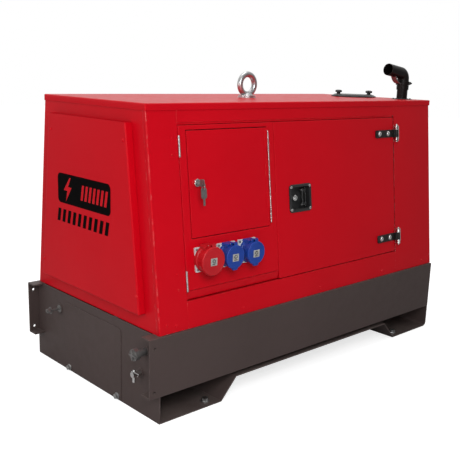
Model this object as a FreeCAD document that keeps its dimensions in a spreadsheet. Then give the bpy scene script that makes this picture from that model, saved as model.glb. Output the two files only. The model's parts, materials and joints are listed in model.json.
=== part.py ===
import FreeCAD, Part
import math, os
import Sketcher

# Engine driven welder: sheet-steel canopy on a skid base, engine and generator inside.
# Frame: +X along the length (control end is -X), -Y is the control and service side, +Z up.
# Origin on the floor, under the middle of the machine.  All sizes in millimetres.

doc = FreeCAD.newDocument("engine_driven_welder")
sheet = doc.addObject("Spreadsheet::Sheet", "dims")

SIZES = [
    # canopy
    ("canopy_length", 1390), ("canopy_shift", 664), ("canopy_half_bottom", 352.5), ("canopy_half_top", 277),
    ("base_top", 270), ("canopy_top", 912), ("lean_angle", 6.707), ("slope_height", 646.4), ("skin", 2),
    ("roof_top", 925), ("roof_lip_bottom", 905), ("roof_half", 280.6), ("roof_overhang", 2.5),
    ("seam_left", 108), ("seam_mid", 498), ("seam_right", 1149), ("door_gap", 1.5),
    ("door_low", 85), ("door_high", 596), ("header_low", 604), ("door_depth", 20),
    ("flap_left", 138), ("flap_right", 467), ("flap_low", 264), ("flap_high", 582),
    ("panel_depth", 57),
    # base
    ("rail_half", 360.5), ("rail_bottom", 87), ("rail_wall", 5), ("rail_flange", 43), ("rail_overrun", 42),
    ("rail_right", 1386), ("pan_wall", 4), ("foot_left", 239), ("foot_right", 1153), ("belly", 68), ("slope_run", 62),
    ("rail_hole_radius", 4.5), ("rail_hole_low", 106), ("rail_hole_high", 242), ("rail_hole_inset", 24),
    ("end_plate_face", 6), ("cover_half", 165), ("cover_top", 241),
    # service door hinges and latch
    ("hinge_axis_out", 10.5), ("hinge_axis_x", 1154), ("barrel_radius", 7), ("pin_radius", 4), ("pin_gap", 0.05),
    ("hinge_high", 537), ("hinge_low", 143), ("latch_x", 613), ("latch_up", 342), ("latch_width", 108), ("latch_height", 93),
    ("dish_depth", 24),
    # sockets
    ("socket_z", 470), ("socket_first", 180), ("socket_pitch", 87.5), ("flange_side", 75), ("socket_mouth", 366),
    ("red_radius", 37), ("red_cavity", 29), ("red_lid", 44), ("blue_radius", 33), ("blue_cavity", 25), ("blue_lid", 37),
    ("lid_thickness", 9), ("lid_axis_y", 362),
    # roof fittings
    ("eye_x", 648), ("eye_centre_z", 971), ("eye_ring", 35), ("eye_wire", 10.3), ("hatch_x", 1282), ("hatch_y", 18),
    ("hatch_radius", 92), ("hatch_hole", 60), ("knob_offset", 63), ("exhaust_x", 1335), ("exhaust_y", 185),
    ("exhaust_radius", 21), ("elbow_bend", 26),
]
for i, (name, value) in enumerate(SIZES):
    sheet.set("A%d" % (i + 1), name)
    sheet.set("B%d" % (i + 1), str(value))
    sheet.setAlias("B%d" % (i + 1), name)
doc.recompute()
TABLE = dict(SIZES)


class Q:
    """A length that knows its number and the expression that gives it."""

    def __init__(self, value, text):
        self.v = float(value)
        self.e = text

    def __add__(a, b):
        b = q(b)
        return Q(a.v + b.v, "(%s + %s)" % (a.e, b.e))

    def __radd__(a, b):
        return q(b) + a

    def __sub__(a, b):
        b = q(b)
        return Q(a.v - b.v, "(%s - %s)" % (a.e, b.e))

    def __rsub__(a, b):
        return q(b) - a

    def __mul__(a, b):
        b = q(b)
        return Q(a.v * b.v, "(%s * %s)" % (a.e, b.e))

    def __rmul__(a, b):
        return q(b) * a

    def __truediv__(a, b):
        b = q(b)
        return Q(a.v / b.v, "(%s / %s)" % (a.e, b.e))

    def __neg__(a):
        return Q(-a.v, "(0 - %s)" % a.e)


def q(x):
    if isinstance(x, Q):
        return x
    if isinstance(x, str):
        return Q(TABLE[x], "dims." + x)
    return Q(x, "%.6g" % x if x >= 0 else "(0 - %.6g)" % -x)


count = [0]


def tag(kind):
    count[0] += 1
    return "%s_%d" % (kind, count[0])


def seat(obj, x=0, y=0, z=0, axis=None, angle=0.0):
    x, y, z = q(x), q(y), q(z)
    rot = FreeCAD.Rotation(FreeCAD.Vector(*axis), angle) if axis else FreeCAD.Rotation()
    obj.Placement = FreeCAD.Placement(FreeCAD.Vector(x.v, y.v, z.v), rot)
    obj.setExpression("Placement.Base.x", x.e)
    obj.setExpression("Placement.Base.y", y.e)
    obj.setExpression("Placement.Base.z", z.e)
    return obj


def box(x0, x1, y0, y1, z0, z1):
    o = doc.addObject("Part::Box", tag("box"))
    for prop, a, b in (("Length", x0, x1), ("Width", y0, y1), ("Height", z0, z1)):
        o.setExpression(prop, (q(b) - q(a)).e)
    return seat(o, x0, y0, z0)


AXES = {"x": ((0, 1, 0), 90), "-x": ((0, 1, 0), -90), "y": ((1, 0, 0), -90), "-y": ((1, 0, 0), 90), "z": (None, 0)}


def rod(r, length, x, y, z, axis="z"):
    o = doc.addObject("Part::Cylinder", tag("rod"))
    o.setExpression("Radius", q(r).e)
    o.setExpression("Height", q(length).e)
    if isinstance(axis, str):
        a, g = AXES[axis]
    else:
        a, g = axis
    return seat(o, x, y, z, a, g)


def dome(r1, r2, length, x, y, z, axis="z"):
    o = doc.addObject("Part::Cone", tag("cone"))
    o.setExpression("Radius1", q(r1).e)
    o.setExpression("Radius2", q(r2).e)
    o.setExpression("Height", q(length).e)
    if isinstance(axis, str):
        a, g = AXES[axis]
    else:
        a, g = axis
    return seat(o, x, y, z, a, g)


def cut(a, *tools):
    if len(tools) > 1:
        t = doc.addObject("Part::MultiFuse", tag("tools"))
        t.Shapes = list(tools)
    else:
        t = tools[0]
    o = doc.addObject("Part::Cut", tag("cut"))
    o.Base, o.Tool = a, t
    return o


def fuse(*objs):
    o = doc.addObject("Part::MultiFuse", tag("fuse"))
    o.Shapes = list(objs)
    return o


def group(*objs):
    o = doc.addObject("Part::Compound", tag("group"))
    o.Links = list(objs)
    return o


def soften(obj, direction, radius):
    """Round the straight edges of obj that run along one axis."""
    doc.recompute()
    d = FreeCAD.Vector(*direction)
    picks = []
    for i, e in enumerate(obj.Shape.Edges):
        if e.Curve.TypeId == "Part::GeomLine":
            t = e.Vertexes[1].Point - e.Vertexes[0].Point
            if t.Length > 1e-6 and abs(t.normalize().dot(d)) > 0.999:
                picks.append((i + 1, radius, radius))
    o = doc.addObject("Part::Fillet", tag("round"))
    o.Base = obj
    o.Edges = picks
    return o


def plane_of(body, role):
    for f in body.Origin.OriginFeatures:
        if getattr(f, "Role", "") == role:
            return f
    raise RuntimeError("no plane " + role)


def draw(body, role, outline, offset, circles=()):
    """A sketch of one closed outline (pairs of lengths) and/or circles on an origin plane."""
    sk = body.newObject("Sketcher::SketchObject", tag("sketch"))
    sk.AttachmentSupport = [(plane_of(body, role), "")]
    sk.MapMode = "FlatFace"
    off = q(offset)
    sk.AttachmentOffset = FreeCAD.Placement(FreeCAD.Vector(0, 0, off.v), FreeCAD.Rotation())
    sk.setExpression("AttachmentOffset.Base.z", off.e)
    pts = [(q(a), q(b)) for a, b in outline]
    n = len(pts)
    for i in range(n):
        a, b = pts[i], pts[(i + 1) % n]
        sk.addGeometry(Part.LineSegment(FreeCAD.Vector(a[0].v, a[1].v, 0), FreeCAD.Vector(b[0].v, b[1].v, 0)), False)
    for i in range(n):
        sk.addConstraint(Sketcher.Constraint("Coincident", i, 2, (i + 1) % n, 1))
    for i in range(n):
        for axis, val in (("DistanceX", pts[i][0]), ("DistanceY", pts[i][1])):
            k = sk.addConstraint(Sketcher.Constraint(axis, -1, 1, i, 1, val.v))
            sk.setExpression("Constraints[%d]" % k, val.e)
    for j, (cx, cy, r) in enumerate(circles):
        cx, cy, r = q(cx), q(cy), q(r)
        g = sk.addGeometry(Part.Circle(FreeCAD.Vector(cx.v, cy.v, 0), FreeCAD.Vector(0, 0, 1), r.v), False)
        for axis, val in (("DistanceX", cx), ("DistanceY", cy)):
            k = sk.addConstraint(Sketcher.Constraint(axis, -1, 1, g, 3, val.v))
            sk.setExpression("Constraints[%d]" % k, val.e)
        k = sk.addConstraint(Sketcher.Constraint("Radius", g, r.v))
        sk.setExpression("Constraints[%d]" % k, r.e)
    return sk


def pad(body, sk, length, reverse=False):
    p = body.newObject("PartDesign::Pad", tag("pad"))
    p.Profile = sk
    p.setExpression("Length", q(length).e)
    p.Reversed = reverse
    return p


def pocket(body, sk, length=None, reverse=False, both=False):
    p = body.newObject("PartDesign::Pocket", tag("pocket"))
    p.Profile = sk
    if length is None:
        p.Type = "ThroughAll"
    else:
        p.setExpression("Length", q(length).e)
    p.Midplane = both
    p.Reversed = reverse
    return p


def body():
    return doc.addObject("PartDesign::Body", tag("body"))


NODES = {}


def node(name, obj, where="canopy"):
    """Name a finished sub-part and put it in the machine's frame."""
    if obj.TypeId in ("Part::Box", "Part::Cylinder"):
        obj = group(obj)
    obj.Label = name
    if where == "canopy":
        seat(obj, -q("canopy_shift"), 0, 0)
    elif where == "front":
        # the leaning control side: local x along the machine, local y inward, local z up the slope
        seat(obj, -q("canopy_shift"), -q("canopy_half_bottom"), q("base_top"), (-1, 0, 0), TABLE["lean_angle"])
    elif where == "rear":
        seat(obj, -q("canopy_shift"), q("canopy_half_bottom"), q("base_top"), (1, 0, 0), TABLE["lean_angle"])
    NODES[name] = obj
    return obj


L = q("canopy_length")
skin = q("skin")

# ---------------------------------------------------------------- base
rh, rb, bt, rw, rf = q("rail_half"), q("rail_bottom"), q("base_top"), q("rail_wall"), q("rail_flange")
for name, s in (("base_rail_front", -1), ("base_rail_rear", 1)):
    b = body()
    y = [rh * s, (rh - rw) * s, (rh - rf) * s]
    outline = [(y[0], rb), (y[2], rb), (y[2], rb + rw), (y[1], rb + rw), (y[1], bt - rw), (y[2], bt - rw), (y[2], bt), (y[0], bt)]
    pad(b, draw(b, "YZ_Plane", outline, -q("rail_overrun")), q("rail_overrun") + q("rail_right"))
    hole = draw(b, "XZ_Plane", [], 0, circles=[(-q("rail_hole_inset"), q("rail_hole_low"), "rail_hole_radius"),
                                               (-q("rail_hole_inset"), q("rail_hole_high"), "rail_hole_radius")])
    pk = pocket(b, hole, reverse=(s < 0))
    b.Tip = pk
    node(name, b)

# skid pan: one bent plate forming both feet, the belly and the engine-end wall
t = q("pan_wall")
fl, fr, be, run = q("foot_left"), q("foot_right"), q("belly"), q("slope_run")
xr = q("rail_right")
b = body()
up = q(2.3)
outline = [(-1.7, 0), (fl, 0), (fl + run, be), (fr - run, be), (fr, 0), (xr - 15, 0), (xr - 4.4, 4.4), (xr, 15),
           (xr, bt - 0.3), (xr - t, bt - 0.3), (xr - t, 16.6), (xr - 7.2, 7.2), (xr - 16.6, t),
           (fr + up, t), (fr - run + up, be + t), (fl + run - up, be + t), (fl - up, t), (-1.7, t)]
pad(b, draw(b, "XZ_Plane", outline, -rh), rh * 2)
for s in (-1, 1):
    sk = draw(b, "YZ_Plane", [(rh * s * 1.05, rb - 0.3), ((rh - rf - 0.3) * s, rb - 0.3), ((rh - rf - 0.3) * s, rb + rw + 0.3),
                              ((rh - rw - 0.3) * s, rb + rw + 0.3), ((rh - rw - 0.3) * s, bt - rw - 0.3),
                              ((rh - rf - 0.3) * s, bt - rw - 0.3), ((rh - rf - 0.3) * s, bt + 5), (rh * s * 1.05, bt + 5)], xr - 20)
    pk = pocket(b, sk, 40, reverse=True)
    b.Tip = pk
node("skid_pan", b)

# end plate at the control end, notched round the rails
b = body()
g = 0.3
half = []
right = [(rh, 0), (rh, rb - g), (rh - rf - g, rb - g), (rh - rf - g, rb + rw + g), (rh - rw - g, rb + rw + g),
         (rh - rw - g, bt - rw - g), (rh - rf - g, bt - rw - g), (rh - rf - g, bt)]
outline = right + [(-q(a), z) for a, z in reversed(right)]
pad(b, draw(b, "YZ_Plane", outline, -q("end_plate_face")), 4)
node("base_end_plate", b)

b = body()
ch, ct = q("cover_half"), q("cover_top")
pad(b, draw(b, "YZ_Plane", [(-ch, 4), (ch, 4), (ch, ct - 12), (ch - 3.5, ct - 3.5), (ch - 12, ct), (12 - ch, ct), (3.5 - ch, ct - 3.5), (-ch, ct - 12)],
            -q("end_plate_face") - 2.2), 2.2)
node("base_access_cover", b)


def hexhead(r, h, x, y, z, axis):
    o = doc.addObject("Part::Prism", tag("hex"))
    o.Polygon = 6
    o.setExpression("Circumradius", q(r).e)
    o.setExpression("Height", q(h).e)
    a, gg = AXES[axis]
    return seat(o, x, y, z, a, gg)


xf = -q("end_plate_face") - 2.2
bolts = []
for s in (-1, 1):
    bolts.append(fuse(rod(11, 1.8, xf, 144 * s, 14, "-x"), hexhead(9, 7.5, xf - 1.5, 144 * s, 14, "-x")))
for x in (195, 1191):
    for s in (-1, 1):
        bolts.append(fuse(rod(13, 2.5, x, 331 * s, t, "z"), hexhead(10.4, 11, x, 331 * s, t + 1.0, "z")))
node("base_bolts", group(*bolts))

# oil drain extension with its screw cap, low fuel drain cock, earth terminal
y1, z1 = -296, 210
node("oil_drain_plug", fuse(rod(11, 40, -6, y1, z1, "-x"), rod(18, 14, -40, y1, z1, "-x"), rod(15, 3, -52, y1, z1, "-x"),
                            box(-59, -53, y1 - 2.5, y1 + 2.5, z1 - 15, z1 + 15), box(-59, -53, y1 - 15, y1 + 15, z1 - 2.5, z1 + 2.5)))
y1, z1 = 204, 208
node("earth_terminal", fuse(rod(4, 52, -6, y1, z1, "-x"), rod(13, 3, -6, y1, z1, "-x"), rod(8, 10, -44, y1, z1, "-x"),
                            box(-53, -47, y1 - 13, y1 + 13, z1 - 2.5, z1 + 2.5), rod(12, 2, -41, y1, z1, "-x")))
y1, z1 = -268, 134
node("drain_cock_body", fuse(rod(7, 20, -6, y1, z1, "-x"), hexhead(11, 7, -14, y1, z1, "-x"), rod(9, 14, -24, y1, z1, "-x"),
                             rod(5, 24, -31, y1, z1 - 24, "z"), rod(4, 8, -31, y1, z1 + 8, "z")))
node("drain_cock_lever", cut(fuse(box(-38, -24, y1 - 5, y1 + 5, z1 + 9.3, z1 + 12.3), box(-36, -26, y1 - 30, y1 - 4, z1 + 9.3, z1 + 12.3),
                                  rod(7, 3, -31, y1, z1 + 9.3, "z")), rod(4.05, 10, -31, y1, z1 + 5, "z")))

# fuel tank in the base, filler neck behind the service door
tank = soften(box(345, 1055, -300, 300, 76, 224), (0, 1, 0), 12)
node("fuel_tank", fuse(tank, rod(30, 160, 1012, -262, 221, "z")))
node("fuel_cap", fuse(rod(38, 16, 1012, -262, 381.4, "z"), box(978, 1046, -267, -257, 396, 405)))
node("engine_beams", group(*[box(x - 28, x + 28, -354.8, 354.8, 228, 264) for x in (420, 710, 940)]))

# ---------------------------------------------------------------- canopy skins (leaning front side, local x, inward, up)
sl, sm, sr, dg = q("seam_left"), q("seam_mid"), q("seam_right"), q("door_gap")
dl, dh, hl, dd, sh = q("door_low"), q("door_high"), q("header_low"), q("door_depth"), q("slope_height")
node("corner_panel_left", box(0, sl - dg, 0, skin, 0.5, sh), "front")
node("corner_panel_right", box(sr, L, 0, skin, 0.5, sh), "front")
node("front_sill", fuse(box(sl - dg + 0.2, sr - 0.2, 0, skin, 0.5, dl - 2), box(sl + 4, sr - 4, 1, dd + 4, dl - 4, dl - 2),
                        box(sl + 4, sr - 4, dd + 2, dd + 4, dl - 4, dl + 12)), "front")
node("front_header", fuse(box(sl - dg + 0.2, sr - 0.2, 0, skin, hl, sh), box(sl + 4, sr - 4, 1, dd + 4, hl, hl + 2),
                          box(sl + 4, sr - 4, dd + 2, dd + 4, hl - 18, hl + 2)), "front")

# rear side: one bolted panel with two banks of air slots
b = body()
pad(b, draw(b, "XZ_Plane", [(0, 0.5), (L, 0.5), (L, sh), (0, sh)], 0), skin)
for bank in (200, 1040):
    sk = draw(b, "XZ_Plane", [(bank, 140), (bank + 138, 140), (bank + 138, 150), (bank, 150)], 0)
    pk = pocket(b, sk, 6, both=True)
    pat = b.newObject("PartDesign::LinearPattern", tag("slots"))
    pat.Originals = [pk]
    pat.Direction = (sk, ["V_Axis"])
    pat.Length = 240
    pat.Occurrences = 9
    b.Tip = pat
node("rear_panel", b, "rear")

hbt, htt = q("canopy_half_bottom") - 2.2, q("canopy_half_top") - 2.2
top = q("canopy_top")
for name, x0 in (("end_wall_left", q(0)), ("end_wall_right", L - 2)):
    b = body()
    pad(b, draw(b, "YZ_Plane", [(-hbt, bt), (hbt, bt), (htt, top), (-htt, top)], x0), skin)
    z0 = 380 if name == "end_wall_right" else 470
    for y0 in (-158, 20):
        sk = draw(b, "YZ_Plane", [(y0, z0), (y0 + 138, z0), (y0 + 138, q(z0) + 12), (y0, q(z0) + 12)], x0 + 1)
        pk = pocket(b, sk, 6, both=True)
        pat = b.newObject("PartDesign::LinearPattern", tag("slots"))
        pat.Originals = [pk]
        pat.Direction = (sk, ["V_Axis"])
        pat.Length = 330
        pat.Occurrences = 12
        b.Tip = pat
    node(name, b)

# roof: a shallow tray turned over, with its filler hatch, exhaust and eye-bolt holes
oh, rt, rlb, rhf = q("roof_overhang"), q("roof_top"), q("roof_lip_bottom"), q("roof_half")
b = body()
pad(b, draw(b, "XY_Plane", [(-oh, -rhf), (L + oh, -rhf), (L + oh, rhf), (-oh, rhf)], rlb), rt - rlb)
sk = draw(b, "XY_Plane", [(2.2 - oh, 2.2 - rhf), (L + oh - 2.2, 2.2 - rhf), (L + oh - 2.2, rhf - 2.2), (2.2 - oh, rhf - 2.2)], rlb)
pk = pocket(b, sk, rt - rlb - 3, reverse=True)
sk = draw(b, "XY_Plane", [], rt, circles=[("hatch_x", "hatch_y", "hatch_hole"), ("exhaust_x", -q("exhaust_y"), q("exhaust_radius") + 2), ("eye_x", 0, 12.5)])
pk = pocket(b, sk)
b.Tip = pk
node("roof_panel", b)

# air cowl on the control end: a tray standing off the end wall, open along its top
b = body()
bz0, bz1, by0, by1 = 319, 869, 281.3, 215
pad(b, draw(b, "YZ_Plane", [(-by0, bz0), (by0, bz0), (by1, bz1), (-by1, bz1)], -24), 23.8)
sk = draw(b, "YZ_Plane", [(2.2 - by0, bz0 + 2), (by0 - 2.2, bz0 + 2), (by1 - 2.2 - 2.4, bz1 + 20), (2.2 + 2.4 - by1, bz1 + 20)], -22)
pk = pocket(b, sk, 30, reverse=True)
b.Tip = pk
node("air_cowl", b)


def stud(x, y, z, axis, r=5.2, h=3.0):
    return dome(r, r * 0.62, h, x, y, z, axis)


screws = []
for y, z in ((213 - 9, 818), (-204, 818), (268, 374), (-268, 374)):
    screws.append(stud(-24, y, z, "-x"))
cowl_screws = screws
screws = []
for x, v in ((84, 559), (84, 514), (77, 168), (77, 124), (28, 28)):
    screws.append(stud(x, 0, v, "-y", 3.6, 2.0))
for x in (60, 330, 700, 1060, 1330):
    screws.append(stud(x, 0, 20, "-y", 4.2, 2.2))
for x, v in ((1142 + 34, 565), (1142 + 34, 512), (1142 + 34, 171), (1142 + 34, 118)):
    screws.append(stud(x, -3, v, "-y", 3.6, 2.0))
leaning = group(*screws)
seat(leaning, 0, -q("canopy_half_bottom"), q("base_top"), (-1, 0, 0), TABLE["lean_angle"])
node("panel_screws", group(leaning, *cowl_screws))

# lifting eye and the beam under the roof that carries it
ex, ez, er, ew = q("eye_x"), q("eye_centre_z"), q("eye_ring"), q("eye_wire")
ring = doc.addObject("Part::Torus", tag("ring"))
ring.setExpression("Radius1", er.e)
ring.setExpression("Radius2", ew.e)
seat(ring, ex, 0, ez, (1, 0, 0), 90)
collar = fuse(rod(31, 8, ex, 0, rt, "z"), dome(22, 15, 8, ex, 0, rt + 8, "z"), rod(12, 44, ex, 0, rt - 28, "z"), hexhead(20, 14, ex, 0, rt - 17.4, "z"))
shank = cut(collar, rod(25, 60, ex, -30, ez, "y"))
node("lifting_eye", fuse(ring, shank))

# round filler hatch on the roof, held by two hand knobs
hx, hy, hr, ko = q("hatch_x"), q("hatch_y"), q("hatch_radius"), q("knob_offset")
c45, s45 = 0.731, -0.682
kx = [hx - ko * c45, hx + ko * c45]
ky = [hy - ko * s45, hy + ko * s45]
lid = fuse(rod(hr, 4, hx, hy, rt + 0.4, "z"), dome(hr - 4, hr - 12, 5, hx, hy, rt + 4.4, "z"))
for i in (0, 1):
    lid = fuse(lid, rod(4, 16, kx[i], ky[i], rt + 6, "z"))
node("hatch_cover", lid)
for i, name in ((0, "hatch_knob_left"), (1, "hatch_knob_right")):
    k = fuse(rod(7, 8, kx[i], ky[i], rt + 9.8, "z"), rod(11, 9, kx[i], ky[i], rt + 15, "z"),
             box(kx[i] - 16, kx[i] + 16, ky[i] - 3.5, ky[i] + 3.5, rt + 16, rt + 23))
    node(name, cut(k, rod(4.05, 12.5, kx[i], ky[i], rt + 9.6, "z")))

# exhaust: silencer with its riser through the roof, slash-cut elbow, clamp
xx, xy, xrad = q("exhaust_x"), -q("exhaust_y"), q("exhaust_radius")
riser = fuse(rod(xrad, 135, xx, xy, 850, "z"), rod(16, 112, xx - 10, xy, 862, "-x"),
             rod(52, 370, 850, xy, 862, "x"), rod(44, 12, 1212, xy, 862, "x"), rod(18, 40, 900, xy, 800, "-y"))
node("silencer_riser", cut(riser, rod(xrad - 2.5, 120, xx, xy, 880, "z")))
bend, ea, ez0 = q("elbow_bend"), 82.0, q(1002)


def elbow(r, low, reach):
    """Vertical stub, tight bend and a rising outlet towards -X, swept in one piece."""
    rad, px, py, pz = bend.v, xx.v, xy.v, ez0.v
    a = math.radians(ea)
    mid = math.radians(ea / 2)
    p0, p1 = FreeCAD.Vector(px, py, low), FreeCAD.Vector(px, py, pz)
    pm = FreeCAD.Vector(px - rad + rad * math.cos(mid), py, pz + rad * math.sin(mid))
    p2 = FreeCAD.Vector(px - rad + rad * math.cos(a), py, pz + rad * math.sin(a))
    p3 = p2 + FreeCAD.Vector(-math.sin(a), 0, math.cos(a)) * reach
    path = Part.Wire([Part.makeLine(p0, p1), Part.Arc(p1, pm, p2).toShape(), Part.makeLine(p2, p3)])
    ring = Part.Wire([Part.makeCircle(r, p0, FreeCAD.Vector(0, 0, 1))])
    o = doc.addObject("Part::Feature", tag("pipe"))
    o.Shape = path.makePipeShell([ring], True, False, 2)
    return o


slash = doc.addObject("Part::Box", tag("slash"))
slash.Length, slash.Width, slash.Height = 120, 120, 160
seat(slash, xx - 115 - 120, xy - 60, 985, (0, 1, 0), 8)
xr1 = TABLE["exhaust_radius"]
outer = cut(elbow(xr1 + 1.8, 985.4, 112), slash)
skin_in = elbow(xr1 - 0.7, 980, 122)
sleeve = cut(rod(xrad + 3, 34, xx, xy, 962, "z"), rod(xrad + 0.2, 23.8, xx, xy, 961.5, "z"))
node("exhaust_elbow", cut(fuse(outer, sleeve), skin_in))
ck = xrad + 3.3
node("exhaust_clamp", fuse(cut(rod(ck + 3.5, 13, xx, xy, 981, "z"), rod(ck, 40, xx, xy, 960, "z")),
                           box(xx + ck + 2, xx + ck + 8, xy - 15, xy + 15, 982, 993), rod(3, 20, xx + ck + 2, xy - 9, 987.5, "x"), rod(3, 20, xx + ck + 2, xy + 9, 987.5, "x"),
                           hexhead(6, 6, xx + ck + 8, xy - 9, 987.5, "x"), hexhead(6, 6, xx + ck + 8, xy + 9, 987.5, "x")))

# ---------------------------------------------------------------- service door, strap hinges, latch
door = cut(box(sm + dg, sr - dg, 0, dd, dl, dh), box(sm + dg + skin, sr - dg - skin, skin, dd + 5, dl + skin, dh - skin))
lx, lv, lw, lh = q("latch_x"), q("latch_up"), q("latch_width"), q("latch_height")
door = cut(door, box(lx - lw / 2 + 6.5, lx + lw / 2 - 6.5, -5, 10, lv - lh / 2 + 6.5, lv + lh / 2 - 6.5))
node("service_door", door, "front")

ax, ao, br, pr, pg = q("hinge_axis_x"), -q("hinge_axis_out"), q("barrel_radius"), q("pin_radius"), q("pin_gap")
straps, brackets = [], []
for v in (q("hinge_high"), q("hinge_low")):
    s1 = soften(box(1034, 1143, -5, 0, v - 14, v + 14), (0, 1, 0), 5)
    s = fuse(s1, box(1136, ax, -13, -3.8, v - 14, v + 14), rod(br, 28, ax, ao, v - 14, "z"),
             dome(8, 5.5, 5, 1054, -5, v, "-y"), dome(8, 5.5, 5, 1106, -5, v, "-y"))
    straps.append(cut(s, rod(pr + pg, 60, ax, ao, v - 30, "z")))
    leaf = box(ax - 4, ax + 26, -3, 0, v - 29, v + 29)
    kn = fuse(leaf, rod(br, 14.4, ax, ao, v + 14.3, "z"), rod(br, 14.4, ax, ao, v - 28.7, "z"), rod(pr, 64, ax, ao, v - 32, "z"),
              box(ax, ax + 7, -10, -1, v + 14.3, v + 28.7), box(ax, ax + 7, -10, -1, v - 28.7, v - 14.3))
    brackets.append(kn)
node("door_hinge_straps", group(*straps), "front")
node("door_hinge_brackets", group(*brackets), "front")

rim = soften(box(lx - lw / 2, lx + lw / 2, -2.5, 0, lv - lh / 2, lv + lh / 2), (0, 1, 0), 12)
cup = soften(box(lx - lw / 2 + 7, lx + lw / 2 - 7, -1, "dish_depth", lv - lh / 2 + 7, lv + lh / 2 - 7), (0, 1, 0), 8)
hollow = soften(box(lx - lw / 2 + 9.5, lx + lw / 2 - 9.5, -6, q("dish_depth") - 2.2, lv - lh / 2 + 9.5, lv + lh / 2 - 9.5), (0, 1, 0), 6)
dish = cut(fuse(rim, cup), hollow)
lock = rod(8, 8, lx - 20, 14, lv, "y")
dish = fuse(dish, lock)
for dx in (-1, 1):
    for dv in (-1, 1):
        dish = fuse(dish, stud(lx + (lw / 2 - 9) * dx, -2.3, lv + (lh / 2 - 9) * dv, "-y", 4.5, 2.4))
node("latch_dish", dish, "front")
px, pn = lx + 38, 12
node("latch_handle", fuse(rod(3.2, 64, px, pn, lv - 32, "z"), box(px - 20, px, 5, 12, lv + 18, lv + 27), box(px - 20, px, 5, 12, lv - 27, lv - 18),
                          soften(box(px - 24, px - 15, 3, 11, lv - 27, lv + 27), (0, 0, 1), 2.5)), "front")
node("latch_tongue", soften(box(514, 600, dd + 6, dd + 12, lv - 14, lv + 14), (0, 1, 0), 4), "front")

# ---------------------------------------------------------------- control door with its window, hinged at the left
flx, frx, flv, fhv = q("flap_left"), q("flap_right"), q("flap_low"), q("flap_high")
cd = cut(box(sl + dg, sm - dg, 0, dd, dl, dh), box(sl + dg + skin, sm - dg - skin, skin, dd + 5, dl + skin, dh - skin))
# the lower edge is bevelled back towards the sill
bev = doc.addObject("Part::Wedge", tag("bevel"))
for prop, val in (("Xmin", 0), ("Ymin", 0), ("Zmin", 0), ("X2min", 0), ("Z2min", 0), ("Xmax", 400), ("Ymax", 12), ("Zmax", 16), ("X2max", 400), ("Z2max", 0.01)):
    setattr(bev, prop, val)
seat(bev, sl, -0.1, dl - 0.1)
cd = cut(cd, bev)
lip = box(sl + dg + skin - 0.5, sm - dg - skin + 0.5, 2, dd, dl + 14, dl + 16)
cd = fuse(cd, lip)
cd = cut(cd, box(flx, frx, -5, 10, flv, fhv))

cax, can, cpr = sl, -3.2, 1.6
fixed, moving = [], []
for v in (q("hinge_high"), q("hinge_low")):
    f = fuse(rod(3, 19.6, cax, can, v + 10.3, "z"), rod(3, 19.6, cax, can, v - 29.9, "z"), rod(cpr, 62, cax, can, v - 31, "z"),
             box(cax - 1.3, cax - 0.3, can, 4, v + 10.3, v + 29.9), box(cax - 1.3, cax - 0.3, can, 4, v - 29.9, v - 10.3),
             box(cax - 34, cax - 0.3, 2.2, 4, v - 29.9, v + 29.9))
    fixed.append(f)
    m = fuse(rod(3, 20, cax, can, v - 10, "z"), box(cax + 0.3, cax + 1.7, can, dd - 4, v - 10, v + 10))
    moving.append(cut(m, rod(q(cpr) + pg, 80, cax, can, v - 40, "z")))
node("control_hinge_fixed", group(*fixed), "front")
node("control_door", fuse(cd, *moving), "front")

# instrument tray behind the window
pd = q("panel_depth")
node("instrument_panel", cut(box(122, 480, dd + 0.2, pd, flv - 12, fhv + 4), box(124, 478, dd - 5, pd - 2, flv - 10, fhv + 2),
                             rod(7.4, 20, 285, pd - 8, fhv - 160, "y")), "front")
face = pd - 2
meters = []
for x in (190, 285):
    meters.append(fuse(rod(36, 6, x, face, fhv - 62, "-y"), rod(33, 3, x, face - 6, fhv - 62, "-y")))
node("panel_meters", group(*meters), "front")
node("current_knob", fuse(rod(21, 14, 400, face - 0.4, fhv - 66, "-y"), rod(16, 5, 400, face - 14, fhv - 66, "-y"), box(398, 402, face - 21, face - 18, fhv - 66, fhv - 51)), "front")
node("start_switch", fuse(rod(13, 5, 190, face - 0.4, fhv - 160, "-y"), rod(9, 9, 190, face - 5, fhv - 160, "-y"), box(188, 192, face - 24, face - 12, fhv - 167, fhv - 153)), "front")
node("stop_button", fuse(rod(7, 9, 285, face - 0.4, fhv - 160, "-y"), rod(17, 8, 285, face - 9, fhv - 160, "-y")), "front")
ws = []
for x in (215, 385):
    ws.append(cut(fuse(rod(24, 5, x, face, flv + 45, "-y"), rod(18, 16, x, face - 4, flv + 45, "-y")), rod(6.5, 40, x, face - 1.5, flv + 45, "-y")))
node("weld_sockets", group(*ws), "front")

# flap over the instruments, piano hinge on its right edge
hv0, hv1 = flv + 12, fhv - 12
hax, hn = frx + 1.5, -2.6
flap = box(flx + 2, frx - 1.8, 0, 2, flv + 2, fhv - 2)
knm, knf = [], []
stepv = 49
for i in range(6):
    v0 = hv0 + i * stepv
    part = rod(2.4, stepv - 0.6, hax, hn, v0, "z")
    (knm if i % 2 else knf).append(part)
leafm = [box(frx - 14, hax, -1.2, 0, hv0 + i * stepv, hv0 + i * stepv + stepv - 0.6) for i in range(1, 6, 2)]
leaff = [box(hax, frx + 14, -1.2, 0, hv0 + i * stepv, hv0 + i * stepv + stepv - 0.6) for i in range(0, 6, 2)]
wire = rod(1.2, stepv * 6, hax, hn, hv0, "z")
bore = rod(1.25, stepv * 6 + 20, hax, hn, hv0 - 10, "z")
kx0, kv = 167, 428
ret = [box(flx + 2, frx - 6, 1, 12, flv + 2, flv + 3.5), box(flx + 2, frx - 6, 1, 12, fhv - 3.5, fhv - 2), box(flx + 2, flx + 3.5, 1, 12, flv + 2, fhv - 2)]
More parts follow.
